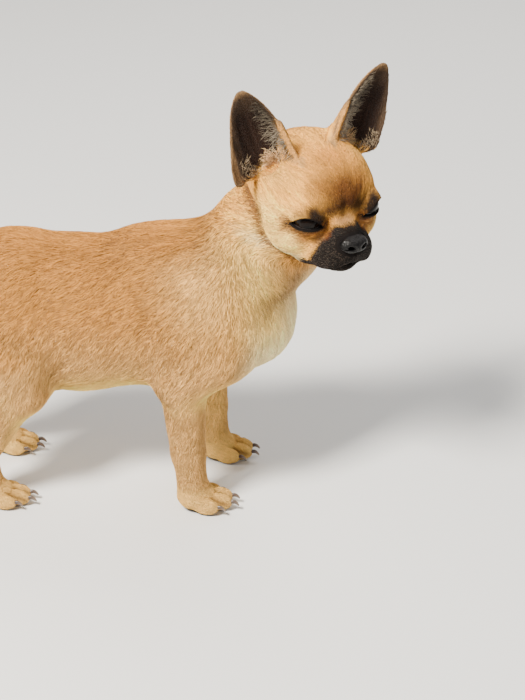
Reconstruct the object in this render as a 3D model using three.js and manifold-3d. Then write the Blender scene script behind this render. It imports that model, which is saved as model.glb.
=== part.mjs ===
// A smooth-coated chihuahua puppy, standing, its head turned to its right and lowered.
// Millimetres. +X is forward along the body, +Y the animal's left, +Z up; the soles stand on z = 0.
// The animal is one smooth solid, blended from named ellipsoids and round-ended cones,
// and parted by thin cuts into its head, neck, trunk, tail and legs.
import * as THREE from 'three';
import { mergeVertices } from 'three/addons/utils/BufferGeometryUtils.js';
import Module from 'manifold-3d';

const wasm = await Module();
wasm.setup();

// ---- driving dimensions ----------------------------------------------------
const GAP = 0.3;                 // air between neighbouring parts
const SOLE_Z = 0;                // level of the soles
const PAW_CUT_Z = 15.5;          // height where a paw meets its leg
const STIFLE_CUT_Z = 66;         // height where a lower hind leg meets its thigh
const EYE_RADIUS = 7.7;          // eyeball
const EYE_CENTRE = [23.6, 15.9, 1.6];   // left eyeball in the head's frame, right one mirrored
const LID = 1.15;                // flesh over the eyeball
const HEAD_POSITION = [74, -9, 180.2];
const HEAD_YAW = -56, HEAD_PITCH = 9, HEAD_ROLL = 0;
const EAR_HALF_WIDTH = 15.6;
const EAR_THICKNESS = 1.6;       // half thickness at the base of the ear

// grid steps of the facets
const STEP = { trunk: 12.0, neck: 9.4, skull: 7.4, face: 4.5, foreleg: 7.6, hindleg: 6.8, paw: 3.9, thigh: 8.8 };

// colours of the coat and the bare parts
const FAWN = 0xc79a66, CREAM = 0xdcc29a, SABLE = 0x9c6a3c, MASK = 0x3a302c;
const EAR_FAWN = 0xb98a5b, NOSE_BLACK = 0x17161a, EYE_DARK = 0x1c110c, CLAW_HORN = 0x3b332d;

// ---- small vector tools -----------------------------------------------------
const RAD = Math.PI / 180;
const add = (a, b) => [a[0] + b[0], a[1] + b[1], a[2] + b[2]];
const sub = (a, b) => [a[0] - b[0], a[1] - b[1], a[2] - b[2]];
const mul = (a, s) => [a[0] * s, a[1] * s, a[2] * s];
const dot = (a, b) => a[0] * b[0] + a[1] * b[1] + a[2] * b[2];
const cross = (a, b) => [a[1] * b[2] - a[2] * b[1], a[2] * b[0] - a[0] * b[2], a[0] * b[1] - a[1] * b[0]];
const len = (a) => Math.hypot(a[0], a[1], a[2]);
const unit = (a) => mul(a, 1 / len(a));
// columns of a frame: three unit axes; local -> parent and back
const out = (M, v) => add(add(mul(M[0], v[0]), mul(M[1], v[1])), mul(M[2], v[2]));
const into = (M, v) => [dot(M[0], v), dot(M[1], v), dot(M[2], v)];
function turned(yaw, pitch, roll) {
  const [cy, sy] = [Math.cos(yaw * RAD), Math.sin(yaw * RAD)];
  const [cp, sp] = [Math.cos(pitch * RAD), Math.sin(pitch * RAD)];
  const [cr, sr] = [Math.cos(roll * RAD), Math.sin(roll * RAD)];
  return [
    [cy * cp, sy * cp, -sp],
    [cy * sp * sr - sy * cr, sy * sp * sr + cy * cr, cp * sr],
    [cy * sp * cr + sy * sr, sy * sp * cr - cy * sr, cp * cr],
  ];
}

// ---- distance fields ----------------------------------------------------------
function ellipsoid(name, c, r, turn = [0, 0, 0], k = 0) {
  const M = turned(...turn);
  const f = (p) => {
    const q = into(M, sub(p, c));
    const k0 = Math.hypot(q[0] / r[0], q[1] / r[1], q[2] / r[2]);
    const k1 = Math.hypot(q[0] / r[0] ** 2, q[1] / r[1] ** 2, q[2] / r[2] ** 2);
    return k0 * (k0 - 1) / Math.max(k1, 1e-9);
  };
  return { name, f, k };
}
function limb(name, a, b, r1, r2, k = 0) {
  const ba = sub(b, a), l2 = dot(ba, ba), rr = r1 - r2, a2 = l2 - rr * rr, il2 = 1 / l2;
  const f = (p) => {
    const pa = sub(p, a), y = dot(pa, ba), z = y - l2;
    const x = sub(mul(pa, l2), mul(ba, y)), x2 = dot(x, x);
    const y2 = y * y * l2, z2 = z * z * l2, kk = Math.sign(rr) * rr * rr * x2;
    if (Math.sign(z) * a2 * z2 > kk) return Math.sqrt(x2 + z2) * il2 - r2;
    if (Math.sign(y) * a2 * y2 < kk) return Math.sqrt(x2 + y2) * il2 - r1;
    return (Math.sqrt(x2 * a2 * il2) + y * rr) * il2 - r1;
  };
  return { name, f, k };
}
function blend(a, b, k) {
  if (k <= 0) return Math.min(a, b);
  const h = Math.max(k - Math.abs(a - b), 0) / k;
  return Math.min(a, b) - h * h * h * k / 6;
}
const blendCut = (a, b, k) => -blend(-a, -b, k);
const joined = (list, p, start) => list.reduce((d, s) => (d === undefined ? s.f(p) : blend(d, s.f(p), s.k)), start);

// ---- the body ---------------------------------------------------------------------
const BODY = [
  ellipsoid('ribcage', [4, 0, 106], [54, 35, 43.5], [0, 2, 0]),
  ellipsoid('abdomen', [-44, 0, 102.5], [50, 33, 44.5], [0, -1, 0], 16),
  ellipsoid('croup', [-78, 0, 116.5], [31, 28, 33], [0, 14, 0], 16),
  ellipsoid('forechest', [42, 1, 108], [27, 27, 32], [0, -20, 0], 18),
  ellipsoid('withers', [4, 0, 139], [30, 17, 14], [0, 4, 0], 18),
  ellipsoid('shoulder_right', [25, -22, 108], [27, 15, 34], [0, -14, 0], 12),
  ellipsoid('shoulder_left', [25, 22, 108], [27, 15, 34], [0, -14, 0], 12),
  ellipsoid('haunch_right', [-77, -19, 91], [29, 15.5, 37], [0, 14, 0], 12),
  ellipsoid('haunch_left', [-77, 19, 91], [29, 15.5, 37], [0, 14, 0], 12),
];
const NECK = [
  limb('neck_base_crest', [27, 0, 126.7], [51, -3, 152.7], 26.4, 23.6, 20),
  limb('neck_top_crest', [51, -3, 152.7], [65, -7, 172.7], 23.6, 21.5, 10),
  limb('neck_base_throat', [33, 0, 121.3], [57, -3, 147.3], 26.4, 23.6, 14),
  limb('neck_top_throat', [57, -3, 147.3], [71, -7, 167.3], 23.6, 21.5, 10),
];
// s is the side, -1 right and +1 left; dx moves a foot forward
const foreleg = (s, dx) => [
  limb('upper_arm', [28 + dx, s * 24, 92], [9 + dx, s * 25, 78], 16, 14.5, 12),
  limb('forearm', [11 + dx, s * 25, 78], [13 + dx, s * 24, 34], 13.4, 9.5, 8),
  limb('pastern', [13 + dx, s * 24, 34], [15 + dx, s * 24, 14], 9.3, 8.6, 5),
];
const hindleg = (s, dx) => [
  limb('lower_thigh', [-78 + dx * 0.4, s * 22, 84], [-71 + dx * 0.8, s * 25, 70], 21, 14, 12),
  limb('shank', [-74 + dx * 0.8, s * 25.5, 70], [-91 + dx, s * 25.5, 36], 12.5, 8.2, 8),
  limb('calf', [-86 + dx * 0.8, s * 24.5, 70], [-97 + dx, s * 25.5, 41], 9, 5, 8),
  limb('hock', [-95 + dx, s * 25.5, 36], [-93 + dx, s * 25.5, 12], 7.6, 7.4, 4),
];
// a paw: palm and four toes. x, y its centre line at the heel
const TOES = [[-1, -0.16, 0.92], [-0.36, 0.06, 1], [0.36, 0.06, 1], [1, -0.16, 0.92]];   // across, along, size
function toePlace(paw, toe) {
  return [paw.x + paw.length * (0.36 + toe[1]), paw.y + toe[0] * paw.width * 0.36, paw.height * 0.62];
}
const paw = (q) => [
  ellipsoid('palm', [q.x, q.y, q.height * 0.88], [q.length * 0.40, q.width * 0.46, q.height * 0.98], [0, 0, 0], 5),
  ...TOES.map((t, i) => ellipsoid('toe' + i, toePlace(q, t),
    [q.length * 0.30 * t[2], q.width * 0.155, q.height * 0.70 * t[2]], [t[0] * q.splay, 0, 0], 1.6)),
];
const PAWS = {
  forepaw_right: { x: 17, y: -24.5, length: 27, width: 21, height: 8.2, splay: 9 },
  forepaw_left: { x: 25, y: 24.5, length: 27, width: 21, height: 8.2, splay: 9 },
  hindpaw_right: { x: -90, y: -26, length: 26, width: 19, height: 7.6, splay: 7 },
  hindpaw_left: { x: -94, y: 26, length: 26, width: 19, height: 7.6, splay: 7 },
};
const LEGS = [
  [...foreleg(-1, 0), ...paw(PAWS.forepaw_right)],
  [...foreleg(1, 8), ...paw(PAWS.forepaw_left)],
  [...hindleg(-1, 0), ...paw(PAWS.hindpaw_right)],
  [...hindleg(1, -4), ...paw(PAWS.hindpaw_left)],
];
// the tail hangs from the croup in a soft curve and lifts a little at its tip
const TAIL_FROM = [-99, 0, 125], TAIL_STEPS = 9, TAIL_LENGTH = 96;
function tailPoint(t) {   // t from 0 at the root to 1 at the tip
  let p = TAIL_FROM;
  const n = 24;
  for (let i = 0; i < n; i++) {
    const u = t * (i + 0.5) / n, down = (28 + 58 * Math.min(1, u * 2.2) - 34 * Math.max(0, u - 0.55) / 0.45) * RAD;
    p = add(p, mul([-Math.cos(down), 0.06 * Math.sin(u * 3), -Math.sin(down)], TAIL_LENGTH * t / n));
  }
  return p;
}
const tailRadius = (t) => 8.6 - 5.2 * Math.pow(t, 0.75);
const TAIL = Array.from({ length: TAIL_STEPS }, (_, i) => {
  const [a, b] = [i / TAIL_STEPS, (i + 1) / TAIL_STEPS];
  return limb('tail' + i, tailPoint(a), tailPoint(b), tailRadius(a), tailRadius(b), 3);
});

// ---- the head, in its own frame: x to the nose, y left, z up -------------------------
const HEAD_FRAME = turned(HEAD_YAW, HEAD_PITCH, HEAD_ROLL);
const toHead = (p) => into(HEAD_FRAME, sub(p, HEAD_POSITION));
const fromHead = (q) => add(out(HEAD_FRAME, q), HEAD_POSITION);
const HEAD = [
  ellipsoid('cranium', [-2, 0, 2], [31, 31, 26.2]),
  ellipsoid('forehead', [12, 0, 6.5], [19.5, 24, 20], [0, 10, 0], 8),
  ellipsoid('brow_right', [19, -12, 9], [8, 10, 7], [0, 0, 0], 6),
  ellipsoid('brow_left', [19, 12, 9], [8, 10, 7], [0, 0, 0], 6),
  ellipsoid('cheek_right', [8, -17.5, -11], [20, 13, 14], [0, 0, 0], 8),
  ellipsoid('cheek_left', [8, 17.5, -11], [20, 13, 14], [0, 0, 0], 8),
  ellipsoid('face', [20, 0, -10], [15, 18, 13], [0, 0, 0], 8),
  ellipsoid('lip_corner_right', [21, -12, -19], [11, 8, 8], [0, 0, 0], 6),
  ellipsoid('lip_corner_left', [21, 12, -19], [11, 8, 8], [0, 0, 0], 6),
  ellipsoid('bridge', [31, 0, -4.5], [12, 7.5, 6], [0, 8, 0], 5),
  ellipsoid('muzzle', [31.5, 0, -12.5], [12.5, 13.5, 9.8], [0, 6, 0], 5),
  ellipsoid('flew_right', [32.5, -8.5, -17], [9.5, 7.5, 8], [18, 0, 0], 4),
  ellipsoid('flew_left', [32.5, 8.5, -17], [9.5, 7.5, 8], [-18, 0, 0], 4),
  ellipsoid('jaw', [25, 0, -22.5], [16, 12, 6.5], [0, 0, 0], 4),
  limb('ear_root_right', [-1, -14.2, 17], [2.8, -22.6, 43], 7.0, 1.2, 7),
  limb('ear_root_left', [-4, 12.4, 17], [-1.4, 16.9, 42], 7.0, 1.2, 7),
];
const NOSE = { centre: [41, 0, -7.3], radii: [5.0, 7.3, 4.6] };
const eyeAt = (s) => [EYE_CENTRE[0], s * EYE_CENTRE[1], EYE_CENTRE[2]];
function headField(q) {
  let d = joined(HEAD, q);
  for (const s of [-1, 1]) d = blend(d, len(sub(q, eyeAt(s))) - EYE_RADIUS - LID, 3.2);
  return d;
}
const NAPE = limb('nape', [50, -3, 152], fromHead([-6, 0, -8]), 24, 20);   // neck into skull

function bodyField(p) {
  let d = joined(NECK, p, joined(BODY, p));
  for (const leg of LEGS) d = blend(d, joined(leg, p), 10);
  return d;
}
const wholeField = (p) => blend(blend(bodyField(p), NAPE.f(p), 12), headField(toHead(p)), 7);

// ---- facets: a closed mesh of a field ---------------------------------------------------
function facets(F, lo, hi, h, shift = 0, frame = null) {
  // the grid may lie in a frame of its own: frame = { M, o }
  const P = frame ? (q) => add(out(frame.M, q), frame.o) : (q) => q;
  // closed off just inside the grid's own box
  const mid = mul(add(lo, hi), 0.5), half = sub(hi, mid).map((x) => x - 2.2 * h);
  const G = (q) => Math.max(F(P(q)) - shift, ...sub(q, mid).map((x, i) => Math.abs(x) - half[i]));
  const n = [0, 1, 2].map((i) => Math.ceil((hi[i] - lo[i]) / h) + 1);
  const at = (i, j, k) => (i * n[1] + j) * n[2] + k;
  const val = new Float64Array(n[0] * n[1] * n[2]);
  for (let i = 0; i < n[0]; i++) for (let j = 0; j < n[1]; j++) for (let k = 0; k < n[2]; k++) {
    val[at(i, j, k)] = G([lo[0] + i * h, lo[1] + j * h, lo[2] + k * h]);
  }
  const cell = new Int32Array(val.length).fill(-1);
  const pos = [];
  const corner = [0, 1, 2, 3, 4, 5, 6, 7].map((c) => [c & 1, (c >> 1) & 1, (c >> 2) & 1]);
  for (let i = 0; i < n[0] - 1; i++) for (let j = 0; j < n[1] - 1; j++) for (let k = 0; k < n[2] - 1; k++) {
    const f = corner.map((c) => val[at(i + c[0], j + c[1], k + c[2])]);
    const inside = f.filter((x) => x < 0).length;
    if (inside === 0 || inside === 8) continue;
    let sum = [0, 0, 0], count = 0;
    for (let a = 0; a < 8; a++) for (let ax = 0; ax < 3; ax++) {
      if (corner[a][ax]) continue;
      const b = a | (1 << ax);
      if ((f[a] < 0) === (f[b] < 0)) continue;
      const t = f[a] / (f[a] - f[b]), c = [...corner[a]];
      c[ax] += t; sum = add(sum, c); count++;
    }
    cell[at(i, j, k)] = pos.length;
    pos.push(add(mul(add([i, j, k], mul(sum, 1 / count)), h), lo));
  }
  const quads = [];
  for (let ax = 0; ax < 3; ax++) {
    const u = (ax + 1) % 3, w = (ax + 2) % 3, e = [0, 0, 0];
    for (e[0] = 0; e[0] < n[0]; e[0]++) for (e[1] = 0; e[1] < n[1]; e[1]++) for (e[2] = 0; e[2] < n[2]; e[2]++) {
      if (e[ax] >= n[ax] - 1 || !e[u] || !e[w] || e[u] >= n[u] - 1 || e[w] >= n[w] - 1) continue;
      const g = [...e]; g[ax]++;
      const inA = val[at(...e)] < 0, inB = val[at(...g)] < 0;
      if (inA === inB) continue;
      const back = (du, dw) => { const c = [...e]; c[u] -= du; c[w] -= dw; return cell[at(...c)]; };
      const q = [back(1, 1), back(0, 1), back(0, 0), back(1, 0)];
      quads.push(inA ? q : q.reverse());
    }
  }
  // draw the corners together along the surface, then onto it
  const near = pos.map(() => new Set());
  for (const q of quads) for (let a = 0; a < 4; a++) { near[q[a]].add(q[(a + 1) % 4]); near[q[(a + 1) % 4]].add(q[a]); }
  const settle = (p) => {
    const e = 0.05, f = G(p);
    const g = [0, 1, 2].map((i) => { const a = [...p], b = [...p]; a[i] += e; b[i] -= e; return (G(a) - G(b)) / (2 * e); });
    const s = Math.max(-h / 2, Math.min(h / 2, f / Math.max(dot(g, g), 0.05)));
    return sub(p, mul(g, s));
  };
  for (let r = 0; r < 4; r++) {
    if (r) {
      const eased = pos.map((p, i) => { let s = [0, 0, 0]; near[i].forEach((k) => { s = add(s, pos[k]); }); return add(mul(p, 0.5), mul(s, 0.5 / near[i].size)); });
      eased.forEach((p, i) => { pos[i] = p; });
    }
    for (let m = 0; m < 2; m++) pos.forEach((p, i) => { pos[i] = settle(p); });
  }
  const tri = [];
  for (const q of quads) {
    const d1 = len(sub(pos[q[0]], pos[q[2]])), d2 = len(sub(pos[q[1]], pos[q[3]]));
    if (d1 <= d2) tri.push(q[0], q[1], q[2], q[0], q[2], q[3]); else tri.push(q[0], q[1], q[3], q[1], q[2], q[3]);
  }
  return solid(pos.map(P), tri);
}
function solid(points, tri) {
  return new wasm.Manifold(new wasm.Mesh({ numProp: 3, vertProperties: new Float32Array(points.flat()), triVerts: new Uint32Array(tri) }));
}
// a field's solid on a grid that gives one clean closed surface
function cleanFacets(F, lo, hi, h, shift = 0, frame = null, first = 0) {
  for (let i = first; i < first + 12; i++) {
    const nudge = [(i * 0.37) % 1, (i * 0.61) % 1, (i * 0.83) % 1].map((x) => -x * h * 0.9);
    try { const m = facets(F, add(lo, nudge), hi, h, shift, frame); if (!m.isEmpty() && m.volume() > 0) return m; } catch (e) { /* next grid */ }
  }
  throw new Error('no clean surface');
}
// a convex prism: outline in the plane of two axes, drawn out along the third, in a frame
function prism(outline, from, to, axis = 2, frame = null) {
  const P = (a, b, c) => { const v = axis === 2 ? [a, b, c] : axis === 1 ? [b, c, a] : [c, a, b]; return frame ? add(out(frame.M, v), frame.o) : v; };
  const n = outline.length, pts = [], tri = [];
  for (const [a, b] of outline) pts.push(P(a, b, from));
  for (const [a, b] of outline) pts.push(P(a, b, to));
  for (let i = 1; i < n - 1; i++) { tri.push(0, i + 1, i); tri.push(n, n + i, n + i + 1); }
  for (let i = 0; i < n; i++) { const j = (i + 1) % n; tri.push(i, j, n + j, i, n + j, n + i); }
  const m = solid(pts, tri);
  if (m.volume() > 0) return m;
  for (let i = 0; i < tri.length; i += 3) [tri[i + 1], tri[i + 2]] = [tri[i + 2], tri[i + 1]];
  return solid(pts, tri);
}
// everything on the far side of a plane
function beyond(point, normal, size = 400) {
  const z = unit(normal), x = unit(cross(Math.abs(z[2]) > 0.9 ? [1, 0, 0] : [0, 0, 1], z)), y = cross(z, x);
  return prism([[-size, -size], [size, -size], [size, size], [-size, size]], 0, size, 2, { M: [x, y, z], o: point });
}
function fromGeometry(geometry, place) {
  geometry.deleteAttribute('normal'); geometry.deleteAttribute('uv');
  const g = mergeVertices(geometry, 1e-4), a = g.attributes.position, pts = [];
  for (let i = 0; i < a.count; i++) pts.push(place([a.getX(i), a.getY(i), a.getZ(i)]));
  const raw = Array.from(g.index.array), tri = [];
  for (let i = 0; i < raw.length; i += 3) { const [p, q, r] = raw.slice(i, i + 3); if (p !== q && q !== r && p !== r) tri.push(p, q, r); }
  return solid(pts, tri);
}
// the thinnest facet of a solid, and the best of some tries on shifted grids
function thinnest(m) {
  const g = m.getMesh(), v = g.vertProperties, t = g.triVerts, at = (i) => [v[3 * i], v[3 * i + 1], v[3 * i + 2]];
  let least = Infinity;
  // two corners in one place would pinch the solid
  const places = new Set();
  for (let i = 0; i < v.length / 3; i++) places.add(at(i).map((x) => x.toFixed(2)).join());
  if (places.size < v.length / 3) return -1;
  for (let i = 0; i < t.length; i += 3) {
    const [a, b, c] = [at(t[i]), at(t[i + 1]), at(t[i + 2])], e = Math.max(len(sub(a, b)), len(sub(b, c)), len(sub(c, a)));
    least = Math.min(least, len(cross(sub(b, a), sub(c, a))) / e);
  }
  return least;
}
function best(make, enough = 0.03, tries = 14) {
  let kept = null, score = -Infinity;
  for (let i = 0; i < tries && score < enough; i++) {
    let m; try { m = make(i); } catch (e) { continue; }
    const t = thinnest(m);
    if (t > score) { kept = m; score = t; }
  }
  return kept;
}
const largest = (m) => m.decompose().sort((a, b) => b.volume() - a.volume())[0];

// ---- the cuts between the parts ----------------------------------------------------------
const CUT = {
  head: { point: [60, -4, 158], normal: unit([0.30, -0.15, 0.94]) },
  neck: { point: [50, -1, 135], normal: unit([0.61, -0.04, 0.79]) },
  face: { point: fromHead([9, 0, 0]), normal: HEAD_FRAME[0] },
};
const ahead = (c) => beyond(add(c.point, mul(c.normal, GAP / 2)), c.normal);
const behind = (c) => beyond(add(c.point, mul(c.normal, -GAP / 2)), mul(c.normal, -1));
// a leg's share of the body, as an outline across the body drawn out along it
function legShare(s, outline, x0, x1, grow = 0) {
  const o = outline.map(([y, z]) => [s * y, z]);
  const cx = o.reduce((t, p) => t + p[0], 0) / o.length, cz = o.reduce((t, p) => t + p[1], 0) / o.length;
  const g = o.map(([y, z]) => { const dx = y - cx, dz = z - cz, l = Math.hypot(dx, dz); return [y + dx / l * grow * 1.5, z + dz / l * grow * 1.5]; });
  return prism(g, x0 - grow, x1 + grow, 0);
}
const FORE_SHARE = [[8, -20], [8, 68], [44, 104], [70, 104], [70, -20]];
const HIND_SHARE = [[7, -20], [7, 70], [25, 124], [70, 124], [70, -20]];
const floorUp = beyond([0, 0, SOLE_Z], [0, 0, 1]);
const over = (z) => beyond([0, 0, z + GAP / 2], [0, 0, 1]);
const under = (z) => beyond([0, 0, z - GAP / 2], [0, 0, -1]);

const solids = {};
const bodyLo = [-140, -72, -24], bodyHi = [136, 72, 236];
{
  const legs = [[-1, FORE_SHARE, -14, 46], [1, FORE_SHARE, -6, 54], [-1, HIND_SHARE, -130, -47], [1, HIND_SHARE, -130, -50]];
  solids.trunk = best((n) => {
    let trunk = cleanFacets(wholeField, bodyLo, bodyHi, STEP.trunk, 0, null, n).intersect(behind(CUT.neck));
    for (const l of legs) trunk = trunk.subtract(legShare(l[0], l[1], l[2], l[3], GAP));
    return largest(trunk);
  });
  solids.neck = best((n) => largest(cleanFacets(wholeField, bodyLo, bodyHi, STEP.neck, 0, null, n).intersect(ahead(CUT.neck)).intersect(behind(CUT.head))));
  const share = legs.map((l) => legShare(...l));
  ['foreleg_right', 'foreleg_left', 'thigh_right', 'thigh_left'].forEach((name, i) => {
    const fore = i < 2, s = i % 2 ? 1 : -1, q = Object.values(PAWS)[i];
    const x0 = fore ? -18 : -135, x1 = fore ? 62 : -44;
    const bulk = (n) => cleanFacets(wholeField, [x0 - 16, s < 0 ? -72 : -18, -14], [x1 + 16, s < 0 ? 18 : 72, 150], fore ? STEP.foreleg : STEP.thigh, 0, null, n).intersect(behind(CUT.neck)).intersect(share[i]);
    solids[name] = best((n) => largest(bulk(n).intersect(over(fore ? PAW_CUT_Z : STIFLE_CUT_Z))));
    if (!fore) {
      solids[name.replace('thigh', 'hindleg')] = best((n) => largest(cleanFacets(wholeField, [x0 - 8, s < 0 ? -62 : -12, -14], [x1 + 8, s < 0 ? 12 : 62, 90], STEP.hindleg, 0, null, n)
        .intersect(share[i]).intersect(under(STIFLE_CUT_Z)).intersect(over(PAW_CUT_Z))));
    }
    const pawName = fore ? name.replace('foreleg', 'forepaw') : name.replace('thigh', 'hindpaw');
    solids[pawName] = best((n) => largest(cleanFacets(wholeField, [q.x - 26, q.y - 22, -12], [q.x + 32, q.y + 22, 30], STEP.paw, 0, null, n).intersect(under(PAW_CUT_Z)).intersect(floorUp)));
  });
}
// ---- ears: thin cupped shells -----------------------------------------------------------
const EARS = {
  ear_right: { side: -1, base: [-3.9, -22.8, 15.6], up: [0.035, -0.405, 0.90], open: [0.92, -0.35, 0.10], length: 51.0, flare: 0.20 },
  ear_left: { side: 1, base: [-4.3, 21.9, 15.7], up: [0.083, 0.297, 0.952], open: [0.975, -0.05, 0.10], length: 48.0, flare: -0.12 },
};
const earHalfWidth = (t) => EAR_HALF_WIDTH * Math.pow(Math.max(0, 1 - Math.max(0, t) ** 1.9), 0.70) * (1 - 0.34 * Math.min(1.4, Math.max(0, (0.16 - t) / 0.16)) ** 2);
const earCup = (t, w) => (0.034 * Math.pow(Math.max(0, 1 - Math.max(0, t)), 1.1) + 0.012) * w * w - 2.2 * Math.sin(Math.PI * Math.max(0, t));
const EAR_ROWS = 9, EAR_COLUMNS = 6;
function earSolid(e) {
  const u = unit(e.up), n = unit(sub(e.open, mul(u, dot(e.open, u)))), w = cross(u, n);
  const place = (a, b, c) => fromHead(add(add(add(mul(u, a), mul(w, b)), mul(n, c)), e.base));
  const pts = [], tri = [], ring = 2 * (EAR_COLUMNS + 1);
  for (let i = 0; i <= EAR_ROWS; i++) {
    const t = -0.10 + 1.085 * Math.pow(i / EAR_ROWS, 0.92), half = Math.max(0.9, earHalfWidth(t));
    const thick = EAR_THICKNESS - 0.6 * Math.max(0, t);
    for (let k = 0; k < ring; k++) {
      const front = k <= EAR_COLUMNS, j = front ? k : 2 * EAR_COLUMNS + 1 - k, x = -1 + 2 * j / EAR_COLUMNS;
      const b = x * half * (x * e.side > 0 ? 1 + e.flare * Math.exp(-(((t - 0.18) / 0.24) ** 2)) : 1), rim = 0.45 + 0.55 * Math.sqrt(1 - x * x);
      const rise = 0.10 * (1 - i / EAR_ROWS) ** 4 * x * x;          // the lobe's corners are round
      pts.push(place((t + rise) * e.length, b, earCup(t + rise, b) + (front ? 1 : -1) * thick * rim));
    }
  }
  for (let i = 0; i < EAR_ROWS; i++) for (let k = 0; k < ring; k++) {
    const a = i * ring + k, b = i * ring + (k + 1) % ring, c = a + ring, d = b + ring;
    tri.push(a, b, d, a, d, c);
  }
  const last = EAR_ROWS * ring;
  for (let j = 0; j < EAR_COLUMNS; j++) {
    const o = 2 * EAR_COLUMNS + 1;
    const q = [j, j + 1, o - j - 1, o - j];
    tri.push(q[0], q[2], q[1], q[0], q[3], q[2]);
    tri.push(last + q[0], last + q[1], last + q[2], last + q[0], last + q[2], last + q[3]);
  }
  const m = solid(pts, tri);
  if (m.volume() > 0) return m;
  for (let i = 0; i < tri.length; i += 3) [tri[i + 1], tri[i + 2]] = [tri[i + 2], tri[i + 1]];
  return solid(pts, tri);
}
// ---- eyes and nose ---------------------------------------------------------------------------
function ball(centre, radii, around, down, grow = 0) {
  return fromGeometry(new THREE.SphereGeometry(1, around, down), ([x, y, z]) =>
    fromHead([centre[0] + z * (radii[0] + grow), centre[1] + x * (radii[1] + grow), centre[2] + y * (radii[2] + grow)]));
}
// the opening between the lids: an almond drawn outwards from the eyeball
const EYE_OPENING = { width: 13.6, above: 3.6, below: 3.0, outward: 38, tilt: 6 };
function eyeOpening(s) {
  const away = s * EYE_OPENING.outward * RAD;
  const x = unit([Math.cos(away), Math.sin(away), 0.06]), y = unit(cross([0, 0, 1], x)), z = cross(x, y);
  const c = Math.cos(EYE_OPENING.tilt * RAD), d = Math.sin(EYE_OPENING.tilt * RAD) * s;
  const M = [x, add(mul(y, c), mul(z, d)), sub(mul(z, c), mul(y, d))];
  const n = 7, outline = [];
  for (let i = 0; i <= n; i++) { const a = -1 + 2 * i / n; outline.push([a * EYE_OPENING.width / 2, -EYE_OPENING.below * Math.pow(1 - a * a, 0.8)]); }
  for (let i = 1; i < n; i++) { const a = 1 - 2 * i / n; outline.push([a * EYE_OPENING.width / 2, EYE_OPENING.above * Math.pow(1 - a * a, 0.8)]); }
  return prism(outline, 0, 26, 0, { M: M.map((v) => out(HEAD_FRAME, v)), o: fromHead(eyeAt(s)) });
}
const noseSolid = (grow = 0) => ball(NOSE.centre, NOSE.radii, 10, 7, grow);

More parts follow.
